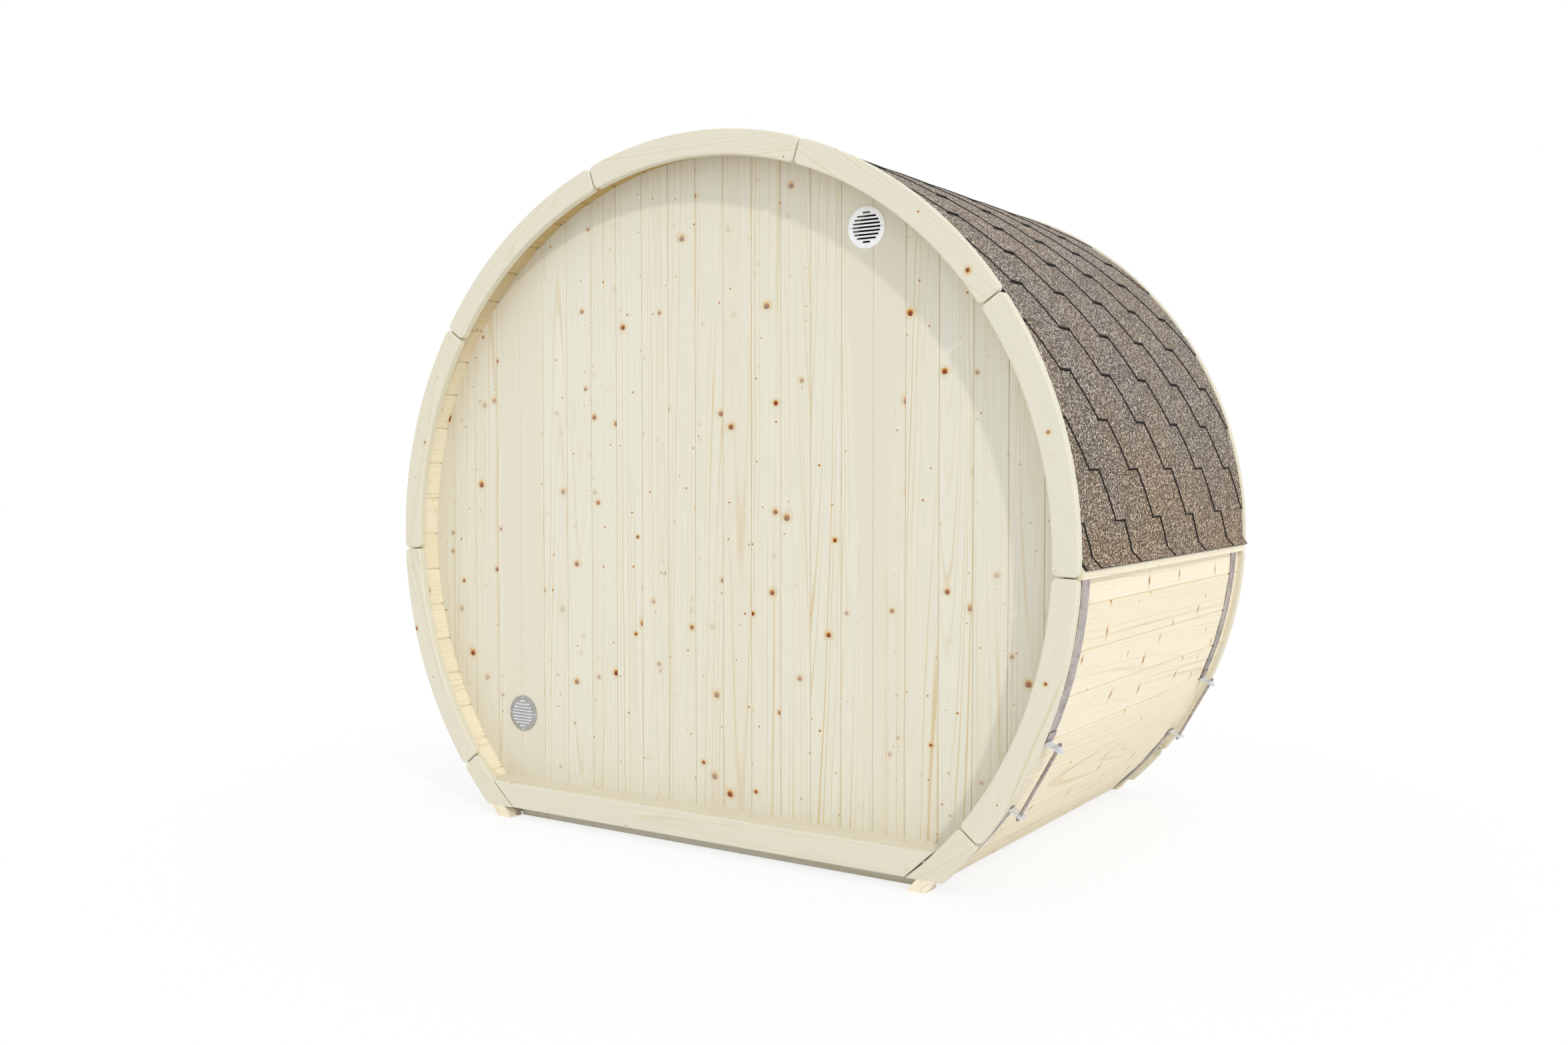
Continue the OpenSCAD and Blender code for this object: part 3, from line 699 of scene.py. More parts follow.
class SAUNA_OT_finishes(Operator):
    """Make the finishes of timber, shingle and metal"""

    bl_idname = "sauna.finishes"
    bl_label = "Finishes"

    def execute(self, context):
        sizes = context.scene.sauna_sizes
        colours = context.scene.sauna_colours
        board_grain_group()
        granule_group()
        patina_group()
        stave_w = 2 * STAVE_R * math.sin(sizes.stave_pitch / 2)
        timber(
            "planed_staves", colours.stave, colours, strength=0.6, share=0.6,
            knot_size=0.0095, knot_stretch=(1.6, 0.65, 1), width=stave_w,
        )
        timber(
            "planed_wall_boards", colours.wall, colours, strength=0.9, share=0.52,
            knot_size=0.0125, knot_stretch=(1.1, 1, 1), width=sizes.board_pitch,
        )
        # A width far beyond the ring boards leaves their edges without the painted joint shade
        timber(
            "planed_rings", colours.ring, colours, strength=0.55, share=0.36,
            knot_size=0.01, knot_stretch=(1, 1, 1), width=1.0,
        )
        granules("granulated_shingle", colours)
        bitumen("cut_bitumen", colours.bitumen)
        metal("galvanised_strap", colours.galvanised, depth=0.5, metallic=1.0)
        metal("zinc_fittings", colours.zinc, depth=0.1, metallic=0.5)
        metal("galvanised_plate", colours.plate, depth=0.12, metallic=0.6)
        metal("white_lacquer", colours.white, depth=0.04, metallic=0.0)
        return {"FINISHED"}


class SAUNA_OT_staves(Operator):
    """Lay the staves of the shell, segment by segment"""

    bl_idname = "sauna.staves"
    bl_label = "Staves"

    def execute(self, context):
        sizes = context.scene.sauna_sizes
        pitch = sizes.stave_pitch
        flat = STAVE_R * math.cos(pitch / 2)
        width = 2 * STAVE_R * math.sin(pitch / 2)
        staves_in_run = 8
        for side in SIDES:
            round_way = 1 if side == "left" else -1
            for run, part in enumerate(("top", "side", "low")):
                node = f"staves_{part}_{side}"
                boards = Boards(f"{node}_boards")
                for i in range(run * staves_in_run, (run + 1) * staves_in_run):
                    turn = math.pi / 2 + (i + 0.5) * pitch * round_way
                    stave = block(2 * SHELL_HALF, width, sizes.stave_t, taper_y=1 - sizes.stave_t / flat)
                    round_off(stave, long_edges(stave), sizes.stave_edge, segments=1)
                    boards.add(stave, on_shell(turn, flat))
                if part == "low":
                    trim(boards.bm, (0, 0, STAVE_BASE), (0, 0, -1))
                boards.piece("planed_staves", "stave_timber", node)
        return {"FINISHED"}


class SAUNA_OT_rings(Operator):
    """Set the ring pieces and the sills on both ends"""

    bl_idname = "sauna.rings"
    bl_label = "End rings"

    def execute(self, context):
        sizes = context.scene.sauna_sizes
        names = ["top", *(f"{level}_{side}" for level in ("upper", "side", "lower") for side in SIDES)]
        for end in ENDS:
            for i, name in enumerate(names):
                away = (i + 1) // 2 * sizes.ring_piece * (1 if i % 2 else -1)
                boards = Boards(f"{end}_ring_{name}_board")
                boards.add(self.ring_board(sizes), on_end(math.pi / 2 + away, end))
                boards.piece("planed_rings", "ring_timber", f"{end}_ring_{name}")
            boards = Boards(f"{end}_ring_ends_boards")
            for away in (4 * sizes.ring_piece, -4 * sizes.ring_piece):
                boards.add(self.ring_board(sizes), on_end(math.pi / 2 + away, end))
            trim(boards.bm, (0, 0, SILL_LOW.z), (0, 0, -1))
            boards.piece("planed_rings", "ring_timber", f"{end}_ring_ends")
            self.sill(sizes, end)
        return {"FINISHED"}

    def ring_board(self, sizes):
        """One ring piece about the top of the ring, with rounded corners and edges."""
        half = sizes.ring_piece / 2 - sizes.ring_gap / 2 / RING_R
        bm = bmesh.new()
        ends = [bm.verts.new((0, RING_R - sizes.ring_w, 0)), bm.verts.new((0, RING_R, 0))]
        edge = bm.edges.new(ends)
        bmesh.ops.rotate(bm, verts=ends, cent=(0, 0, 0), matrix=Matrix.Rotation(-half, 3, "Z"))
        bmesh.ops.spin(
            bm, geom=ends + [edge], cent=(0, 0, 0), axis=(0, 0, 1), angle=2 * half, steps=sizes.ring_steps
        )
        raised = bmesh.ops.extrude_face_region(bm, geom=bm.faces[:])["geom"]
        bmesh.ops.translate(bm, vec=(0, 0, RING_T), verts=verts_in(raised))
        bmesh.ops.recalc_face_normals(bm, faces=bm.faces)
        corner_angle, rim_turn = 1, 0.9
        corners = [
            e for e in bm.edges
            if abs(e.verts[0].co.z - e.verts[1].co.z) > RING_T / 2 and e.calc_face_angle() > corner_angle
        ]
        round_off(bm, corners, sizes.ring_corner, segments=5)
        rims = []
        for edge in bm.edges:
            first, second = (abs(face.normal.z) for face in edge.link_faces)
            if abs(first - second) > rim_turn:
                rims.append(edge)
        round_off(bm, rims, sizes.ring_round, segments=3)
        return bm

    def sill(self, sizes, end):
        """The board that closes a ring at the bottom, with its ends cut along the ring."""
        height = SILL_HIGH.z - SILL_LOW.z
        inner = RING_R - sizes.ring_w
        low_half, high_half = (
            math.sqrt(inner**2 - (CENTRE_Z - z) ** 2) - sizes.ring_gap for z in (SILL_LOW.z, SILL_HIGH.z)
        )
        board = block(2 * high_half, height, RING_T)
        low = [v for v in board.verts if v.co.y < 0]
        bmesh.ops.scale(board, vec=(low_half / high_half, 1, 1), verts=low)
        round_off(board, board.edges, sizes.ring_round * 0.8, segments=3)
        boards = Boards(f"{end}_sill_board")
        look, middle = facing(end), (SILL_LOW.z + SILL_HIGH.z) / 2
        at = (0, look * (SHELL_HALF + RING_T), middle)
        boards.add(board, placing((-look, 0, 0), (0, 0, 1), (0, look, 0), at))
        boards.piece("planed_rings", "ring_timber", f"{end}_sill")


class SAUNA_OT_floor(Operator):
    """Lay the floor deck, the bearers and the feet"""

    bl_idname = "sauna.floor"
    bl_label = "Floor"

    def execute(self, context):
        sizes = context.scene.sauna_sizes
        self.deck(sizes)
        self.bearers(sizes)
        self.feet(sizes)
        return {"FINISHED"}

    def deck(self, sizes):
        """Deck boards across the barrel, with their ends sloped to the staves."""
        boards = Boards("floor_deck_boards")
        count = round(2 * SHELL_HALF / sizes.board_pitch)
        width = 2 * SHELL_HALF / count
        thickness = DECK_HIGH.z - DECK_LOW.z
        half = DECK_HIGH.x
        taper = 1 - thickness / math.tan(sizes.foot_slope) / half
        for i in range(count):
            board = block(2 * half, width, thickness, taper_x=taper)
            round_off(board, long_edges(board), sizes.plank_edge / 2, segments=1)
            boards.add(board, lying(0, (i + 0.5) * width - SHELL_HALF, DECK_HIGH.z))
        boards.piece("planed_wall_boards", "stave_timber", "floor_deck")

    def bearers(self, sizes):
        """Bearers across the barrel under the deck."""
        low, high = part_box("floor_bearers")
        boards = Boards("floor_bearer_boards")
        reach = high.y - sizes.bearer_t / 2
        for y in (-reach, 0, reach):
            board = block(high.x - low.x, sizes.bearer_t, high.z - low.z)
            round_off(board, long_edges(board), sizes.plank_edge)
            boards.add(board, lying(0, y, high.z))
        boards.piece("planed_wall_boards", "stave_timber", "floor_bearers")

    def feet(self, sizes):
        """Short blocks that carry on the slope of the lowest stave down to the ground."""
        low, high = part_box("base_feet")
        boards = Boards("base_feet_blocks")
        width = sizes.stave_t / math.cos(sizes.foot_slope)
        spans = ((SHELL_HALF, -low.y, high.z), (-low.y - sizes.bearer_inset, SHELL_HALF, STAVE_BASE))
        outer = high.x - (high.z - low.z) / math.tan(sizes.foot_slope)
        for near, far, top in spans:
            lean = top / math.tan(sizes.foot_slope)
            for look in (-1, 1):
                for side in (-1, 1):
                    board = block(far - near, width, top)
                    upper = [v for v in board.verts if v.co.z > -top / 2]
                    bmesh.ops.translate(board, vec=(0, -side * lean, 0), verts=upper)
                    at = (side * (outer - width / 2), look * (near + far) / 2, top)
                    boards.add(board, placing((0, 1, 0), (-1, 0, 0), (0, 0, 1), at))
        boards.piece("planed_staves", "ring_timber", "base_feet")


class SAUNA_OT_walls(Operator):
    """Board the end walls"""

    bl_idname = "sauna.walls"
    bl_label = "End walls"

    def execute(self, context):
        sizes = context.scene.sauna_sizes
        rear = self.boarding(sizes, "rear_wall_boards", "rear")
        wall = rear.piece("planed_wall_boards", "wall_timber", "rear_wall")
        self.bore(wall, sizes)
        frame_low, frame_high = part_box("door_frame")
        for side, x in (("left", frame_low.x), ("right", frame_high.x)):
            boards = self.boarding(sizes, f"front_wall_{side}_boards", "front")
            trim(boards.bm, (x, 0, 0), (1 if side == "left" else -1, 0, 0))
            boards.piece("planed_wall_boards", "wall_timber", f"front_wall_{side}")
        head = self.boarding(sizes, "front_wall_head_boards", "front")
        trim(head.bm, (frame_low.x, 0, 0), (-1, 0, 0))
        trim(head.bm, (frame_high.x, 0, 0), (1, 0, 0))
        trim(head.bm, (0, 0, frame_high.z), (0, 0, -1))
        head.piece("planed_wall_boards", "wall_timber", "front_wall_head")
        return {"FINISHED"}

    def boarding(self, sizes, name, end):
        """Upright boards with V joints, cut to the inside of the staves and to the deck."""
        boards = Boards(name)
        pitch = sizes.board_pitch
        reach = WALL_HIGH.x
        thickness = WALL_HIGH.y - WALL_LOW.y
        y = WALL_LOW.y if end == "rear" else -WALL_LOW.y
        count = math.floor(reach / pitch + 0.5)
        for i in range(-count, count + 1):
            board = block(2 * reach, pitch - sizes.board_gap, thickness)
            round_off(board, long_edges(board), sizes.board_groove, segments=1)
            boards.add(board, upright(i * pitch, y, CENTRE_Z, end))
        inside = reach * math.cos(sizes.stave_pitch / 2)
        flats = round(2 * math.pi / sizes.stave_pitch)
        for i in range(flats):
            turn = (i + 0.5) * sizes.stave_pitch
            trim(boards.bm, polar(inside, turn), (math.cos(turn), 0, math.sin(turn)))
        trim(boards.bm, (0, 0, DECK_HIGH.z), (0, 0, -1))
        return boards

    def bore(self, wall, sizes):
        """Bores the holes behind the vents."""
        bm = bmesh.new()
        radius, through = sizes.vent_hole / 2, 0.2
        for node in ("upper_vent", "lower_vent"):
            low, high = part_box(node)
            place = Matrix.Translation((low + high) / 2) @ Matrix.Rotation(math.pi / 2, 4, "X")
            bmesh.ops.create_cone(
                bm, cap_ends=True, segments=48, radius1=radius, radius2=radius, depth=through, matrix=place
            )
        cutter = new_object(bm, "vent_bores")
        cut = wall.modifiers.new("Vent holes", "BOOLEAN")
        cut.object = cutter
        cut.operation = "DIFFERENCE"
        cut.solver = "EXACT"
        done = bpy.data.meshes.new_from_object(wall.evaluated_get(bpy.context.evaluated_depsgraph_get()))
        wall.modifiers.clear()
        wall.data = done
        bpy.data.objects.remove(cutter)


class SAUNA_OT_roof(Operator):
    """Lay the shingle courses, the ridge caps and the eave battens"""

    bl_idname = "sauna.roof"
    bl_label = "Roof covering"

    def execute(self, context):
        sizes = context.scene.sauna_sizes
        for side in SIDES:
            self.covering(sizes, side)
            self.batten(sizes, side)
        return {"FINISHED"}

    def covering(self, sizes, side):
        """A starter strip, all courses from the eave up, and the caps of the ridge, on one side."""
        bm = bmesh.new()
        ridge = math.pi / 2 * BATTEN_LOW.x
        eave = -math.hypot(BATTEN_HIGH.x - BATTEN_LOW.x, self.kick_drop(sizes)) - sizes.shingle_t
        starter = self.flat(-SHELL_HALF, SHELL_HALF, eave, sizes.eave_course)
        self.lay(
            bm, starter, sizes,
            lambda arc, y: sizes.shingle_t * (STARTER_LIFT + (sizes.eave_course - arc) / sizes.course_h),
        )
        courses = math.floor((ridge - sizes.eave_course) / sizes.course_h)
        for k in range(-1, courses):
            self.course(bm, sizes, k, eave, ridge)
        self.caps(bm, sizes, ridge)
        if side == "left":
            bmesh.ops.scale(bm, vec=(-1, 1, 1), verts=bm.verts)
            bmesh.ops.reverse_faces(bm, faces=bm.faces)
        for face in bm.faces:
            face.material_index = 0 if self.outwardness(face) > FACE_OUTWARDS else 1
        finishes = ["granulated_shingle", "cut_bitumen"]
        make_piece(bm, f"roof_{side}_shingles", finishes, "shingle", f"roof_{side}")

    def course(self, bm, sizes, k, eave, ridge):
        """One course: a strip with tapered tabs along its lower edge."""
        course_h, period = sizes.course_h, sizes.tab_period
        slant = period / 2 - sizes.tab_edge
        start = sizes.eave_course + k * course_h
        strip = bmesh.new()
        middle = sizes.tab_start + (period / 2 if k % 2 == 0 else 0)
        first = math.floor((-SHELL_HALF - middle) / period)
        last = math.ceil((SHELL_HALF - middle) / period)
        for i in range(first, last + 1):
            self.tab(strip, sizes, middle + i * period, start, slant)
        bmesh.ops.remove_doubles(strip, verts=strip.verts, dist=COURSE_TOUCH)
        for y in (-SHELL_HALF, SHELL_HALF):
            slice_at(strip, (0, y, 0), (0, y, 0), clear=True)
        slice_at(strip, (0, 0, eave), (0, 0, -1), clear=True)
        slice_at(strip, (0, 0, ridge), (0, 0, 1), clear=True)
        layer = sizes.shingle_t * (1 - sizes.ridge_press * max(start, 0) / ridge)
        self.lay(bm, strip, sizes, lambda arc, y: layer * (COURSE_LIFT - (arc - start) / course_h))

    def tab(self, strip, sizes, middle, start, slant):
        """One tab and the strip above it, flat, with Z up the roof."""
        half, head = sizes.tab_edge / 2, start + sizes.course_h
        low = [strip.verts.new((0, middle + y, start)) for y in (-half, half)]
        high = [strip.verts.new((0, middle + y, head)) for y in (half + slant, -half - slant)]
        face = strip.faces.new(low + high)
        upper = next(e for e in face.edges if set(e.verts) == set(high))
        top = verts_in(bmesh.ops.extrude_edge_only(strip, edges=[upper])["geom"])
        bmesh.ops.translate(strip, vec=(0, 0, sizes.course_h), verts=top)
        edge = strip.edges.get([v for v in top + high if v.co.y > middle])
        on = verts_in(bmesh.ops.extrude_edge_only(strip, edges=[edge])["geom"])
        along = sizes.tab_period - 2 * (half + slant)
        bmesh.ops.translate(strip, vec=(0, along, 0), verts=on)

    def flat(self, near, far, low, high):
        """A flat rectangle, with Z up the roof."""
        sheet = bmesh.new()
        corners = ((near, low), (far, low), (far, high), (near, high))
        sheet.faces.new([sheet.verts.new((0, y, z)) for y, z in corners])
        return sheet

    def lay(self, bm, sheet, sizes, lift):
        """Bends a flat sheet round the barrel at its lift, thickens it and adds it to the roof."""
        step = sizes.course_h / 2
        low, high = (limit(v.co.z for v in sheet.verts) for limit in (min, max))
        levels = [0.0, *(sizes.eave_course + i * step for i in range(-2, math.ceil(high / step)))]
        for level in levels:
            if low < level < high:
                slice_at(sheet, (0, 0, level), (0, 0, 1))
        for vert in sheet.verts:
            _, y, arc = vert.co
            vert.co = self.on_roof(sizes, arc, y, lift(arc, y))
        bmesh.ops.recalc_face_normals(sheet, faces=sheet.faces)
        if sheet.faces[0].normal.dot(sheet.faces[0].calc_center_median() - AXIS) < 0:
            bmesh.ops.reverse_faces(sheet, faces=sheet.faces)
        bmesh.ops.solidify(sheet, geom=sheet.faces[:], thickness=-sizes.shingle_t)
        bmesh.ops.recalc_face_normals(sheet, faces=sheet.faces)
        rims = []
        for edge in sheet.edges:
            low, high = sorted(self.outwardness(face) for face in edge.link_faces)
            on_ridge = max(abs(v.co.x) for v in edge.verts) < RIDGE_TOUCH
            if high > FACE_OUTWARDS and abs(low) < EDGE_OUTWARDS and not on_ridge:
                rims.append(edge)
        round_off(sheet, rims, sizes.shingle_cut, segments=1)
        merge(bm, sheet)

    def outwardness(self, face):
        """How far a face looks away from the barrel's axis: 1 outwards, 0 sideways and -1 inwards."""
        away = face.calc_center_median() - AXIS
        away.y = 0
        return face.normal.dot(away.normalized())

    def kick_drop(self, sizes):
        """How far the bevelled top of the eave batten falls."""
        return CENTRE_Z - (BATTEN_LOW.z + sizes.batten_face)

    def on_roof(self, sizes, arc, y, lift):
        """A point of the roof at a length of arc above the diameter; below it, on the batten's bevel."""
        radius = BATTEN_LOW.x
        if arc >= 0:
            return polar(radius + lift, arc / radius, y)
        slope = Vector((BATTEN_HIGH.x - radius, 0, -self.kick_drop(sizes))).normalized()
        out = Vector((-slope.z, 0, slope.x))
        return Vector((radius, y, CENTRE_Z)) - slope * arc + out * lift

    def caps(self, bm, sizes, ridge):
        """Overlapping caps along the ridge."""
        step = 2 * SHELL_HALF / sizes.ridge_caps
        layer = sizes.shingle_t * (1 - sizes.ridge_press)
        for i in range(sizes.ridge_caps):
            near = -SHELL_HALF + i * step
            far = min(near + sizes.cap_reach * step, SHELL_HALF)
            cap = self.flat(near, far, ridge - sizes.ridge_half, ridge)
            self.lay(bm, cap, sizes, lambda arc, y: layer * (CAP_LIFT - (y - near) / step))

    def batten(self, sizes, side):
        """The batten under an eave, bevelled on top."""
        out = 1 if side == "right" else -1
        low, high = BATTEN_LOW, BATTEN_HIGH
        board = block(2 * SHELL_HALF, high.z - low.z, high.x - low.x)
        front_top = [v for v in board.verts if v.co.y > 0 and v.co.z > -TOUCH]
        bmesh.ops.translate(board, vec=(0, -self.kick_drop(sizes), 0), verts=front_top)
        round_off(board, long_edges(board), sizes.batten_edge)
        boards = Boards(f"eave_batten_{side}_board")
        at = (out * high.x, 0, (low.z + high.z) / 2)
        boards.add(board, placing((0, out, 0), (0, 0, 1), (out, 0, 0), at))
        boards.piece("planed_staves", "stave_timber", f"eave_batten_{side}")


class SAUNA_OT_bands(Operator):
    """Fit the steel bands with their tensioners"""

    bl_idname = "sauna.bands"
    bl_label = "Steel bands"

    def execute(self, context):
        sizes = context.scene.sauna_sizes
        for end in ENDS:
            low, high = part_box(f"{end}_band")
            middle = (low.y + high.y) / 2
            self.band(sizes, end, low.y, high.y)
            self.rod(sizes, end, middle)
        return {"FINISHED"}

    def band(self, sizes, end, near, far):
        """A strap round the barrel in two parts, from the tensioner to the base, with a bent lug on each."""
        bm = bmesh.new()
        inner = STAVE_R + sizes.band_fit
        outer = inner + sizes.band_t
        lug = math.asin(sizes.lug_span / 2 / inner)
        short_of_base, flat = math.radians(1), math.radians(3)
        base = math.asin((CENTRE_Z - STAVE_BASE) / STAVE_R) - short_of_base
        profile = ((inner, near), (outer, near), (outer, far), (inner, far))
        for start, stop in ((lug - sizes.tensioner, math.pi + base), (-sizes.tensioner - lug, -base)):
            sweep(bm, profile, start, stop - start, math.ceil(abs(stop - start) / flat))
        upright_part = sizes.lug_span / 2 + 2 * sizes.lug_t
        for side in (-1, 1):
            sheet = self.lug(sizes, far - near, outer)
            for face in sheet.faces:
                face.material_index = 1 if face.calc_center_median().y < upright_part else 0
            if side < 0:
                bmesh.ops.scale(sheet, vec=(1, -1, 1), verts=sheet.verts)
                bmesh.ops.recalc_face_normals(sheet, faces=sheet.faces)
            merge(bm, sheet, tensioner_place(sizes, (near + far) / 2))
        finishes = ["galvanised_strap", "zinc_fittings"]
        obj = make_piece(bm, f"{end}_band_strap", finishes, "galvanised_steel", f"{end}_band")
        smooth_over(obj, SMOOTH_STEEL)

    def lug(self, sizes, width, outer):
        """A strap end that lies on the band and bends outwards to a rounded end with a hole."""
        bm = bmesh.new()
        bend, lap = sizes.lug_bend, sizes.lug_lap
        half = width / 2 - sizes.lug_inset
        rod = outer + sizes.rod_out
        face = sizes.lug_span / 2
        bend_y = face + bend
        rows = [(math.sqrt(outer**2 - y**2), y) for y in (bend_y + lap, bend_y + lap / 2, bend_y)]
        start = rows[-1][0]
        bend_steps, end_steps = 5, 12
        for i in range(1, bend_steps + 1):
            turn = i * math.pi / 2 / bend_steps
            rows.append((start + bend * (1 - math.cos(turn)), face + bend * (1 - math.sin(turn))))
        pairs = [[bm.verts.new((x, y, z)) for z in (-half, half)] for x, y in rows]
        for (a, b), (c, d) in zip(pairs, pairs[1:]):
            bm.faces.new((a, b, d, c))
        turns = [math.pi / 2 - i * math.pi / end_steps for i in range(end_steps + 1)]
        tip = sizes.lug_end
        arc = [bm.verts.new((rod + tip * math.cos(turn), face, tip * math.sin(turn))) for turn in turns]
        rim = [*pairs[-1], *arc]
        edges = [bm.edges.get(pair) or bm.edges.new(pair) for pair in zip(rim, rim[1:] + rim[:1])]
        place = Matrix.Translation((rod, face, 0)) @ Matrix.Rotation(math.pi / 2, 4, "X")
        radius = sizes.rod_d / 2 + sizes.rod_play
        hole = bmesh.ops.create_circle(bm, segments=24, radius=radius, matrix=place)["verts"]
        edges += {e for v in hole for e in v.link_edges}
        bmesh.ops.bridge_loops(bm, edges=edges)
        bmesh.ops.recalc_face_normals(bm, faces=bm.faces)
        if bm.faces[0].normal.x < 0:
            bmesh.ops.reverse_faces(bm, faces=bm.faces)
        bmesh.ops.solidify(bm, geom=bm.faces[:], thickness=-sizes.lug_t)
        bmesh.ops.recalc_face_normals(bm, faces=bm.faces)
        return bm

    def rod(self, sizes, end, middle):
        """The tensioner's rod, with a washer and a nut outside each lug."""
        bm = bmesh.new()
        rod_d = sizes.rod_d
        radius = STAVE_R + sizes.band_fit + sizes.band_t + sizes.rod_out
        place = tensioner_place(sizes, middle) @ Matrix.Translation((radius, 0, 0))
        place = place @ Matrix.Rotation(math.pi / 2, 4, "Z")
        outside = sizes.lug_span / 2 + sizes.lug_t
        rod = dowel(rod_d, 2 * (outside + 1.8 * rod_d), rod_d / 8, segments=24)
        merge(bm, paint(rod, 1), place)
        # A washer and a nut in the proportions that go with the rod's diameter
        for side in (-1, 1):
            washer = dowel(3 * rod_d, 0.2 * rod_d, rod_d / 24)
            nut = dowel(1.9 * rod_d, 0.8 * rod_d, rod_d / 10, segments=6)
            merge(bm, washer, place @ Matrix.Translation((side * (outside + 0.1 * rod_d), 0, 0)))
            merge(bm, nut, place @ Matrix.Translation((side * (outside + 0.6 * rod_d), 0, 0)))
        finishes = ["zinc_fittings", "galvanised_strap"]
        obj = make_piece(bm, f"{end}_tensioner_rod", finishes, "zinc_steel", f"{end}_rod")
        smooth_over(obj, SMOOTH_STEEL)


class SAUNA_OT_vents(Operator):
    """Fit the two vents"""

    bl_idname = "sauna.vents"
    bl_label = "Vents"

    def execute(self, context):
        sizes = context.scene.sauna_sizes
        self.vent(sizes, "upper_vent", "white_lacquer", "white_paint")
        self.vent(sizes, "lower_vent", "galvanised_plate", "galvanised_steel")
        return {"FINISHED"}

    def vent(self, sizes, node, finish, slot):
        """A round plate with slots and four screws; the lower one also has pressed louvres."""
        low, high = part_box(node)
        diameter = high.x - low.x
        at = ((low.x + high.x) / 2, high.y, (low.z + high.z) / 2)
        rows = self.rows(sizes)
        bm = self.plate(sizes, diameter, rows)
        if node == "lower_vent":
            self.louvres(bm, sizes, rows)
        screw_circle = 0.455 * diameter
        for quarter in range(4):
            screw = dowel(sizes.vent_screw, sizes.vent_screw_h, sizes.screw_edge, segments=16)
            out = Matrix.Rotation(quarter * math.pi / 2, 4, "Z")
            out = out @ Matrix.Translation((screw_circle, 0, sizes.vent_t))
            merge(bm, paint(screw, 1), out @ Matrix.Rotation(math.pi / 2, 4, "Y"))
        bmesh.ops.transform(bm, matrix=placing((1, 0, 0), (0, 0, 1), (0, -1, 0), at), verts=bm.verts)
        obj = make_piece(bm, f"{node}_plate", [finish, "zinc_fittings"], slot, node)
        smooth_over(obj, SMOOTH_PLATE)

    def rows(self, sizes):
        """The height of each slot and half its width."""
        reach, half = sizes.vent_field, sizes.vent_slot / 2
        count = sizes.vent_slots // 2
        levels = [i * sizes.vent_pitch for i in range(-count, count + 1)]
        edges = [abs(level) + half if level else 0 for level in levels]
        widths = [math.sqrt(max(reach**2 - edge**2, sizes.vent_slot**2)) for edge in edges]
        return list(zip(levels, widths))

    def plate(self, sizes, diameter, rows):
        """A disc with its slots cut out, in X and Y."""
        bm = bmesh.new()
        bmesh.ops.create_circle(bm, cap_ends=True, segments=72, radius=diameter / 2)
        half = sizes.vent_slot / 2
        for level, _ in rows:
            for edge in (level - half, level + half):
                slice_at(bm, (0, edge, 0), (0, 1, 0), near=FINE_TOUCH)
        for level, reach in rows:
            for x in (-reach, reach):
                geom = {g for f in self.strip(bm, level, half) for g in (f, *f.edges, *f.verts)}
                slice_at(bm, (x, 0, 0), (1, 0, 0), geom=list(geom), near=FINE_TOUCH)
            slot = [f for f in self.strip(bm, level, half) if abs(f.calc_center_median().x) < reach]
            bmesh.ops.delete(bm, geom=slot, context="FACES")
        thicken(bm, sizes.vent_t)
        outside = 0.497 * diameter
        rim = [
            e for e in bm.edges
            if all(v.co.z > sizes.vent_t / 2 and v.co.to_2d().length > outside for v in e.verts)
        ]
        round_off(bm, rim, sizes.vent_t / 3)
        return bm

    def strip(self, bm, level, half):
        """The faces of a plate at the level of one slot."""
        return [f for f in bm.faces if abs(f.calc_center_median().y - level) < half]

    def louvres(self, bm, sizes, rows):
        """Blades that hang outwards from the upper edge of each slot."""
        blade_t = sizes.vent_t / 3
        drop = sizes.vent_slot / math.cos(sizes.louvre)
        for level, reach in rows:
            blade = block(2 * reach, drop, blade_t)
            round_off(blade, long_edges(blade), blade_t / 4)
            hang = Matrix.Translation((0, level + sizes.vent_slot / 2, sizes.vent_t))
            turn = Matrix.Rotation(-sizes.louvre, 4, "X")
            merge(bm, paint(blade, 1), hang @ turn @ Matrix.Translation((0, -drop / 2, 0)))


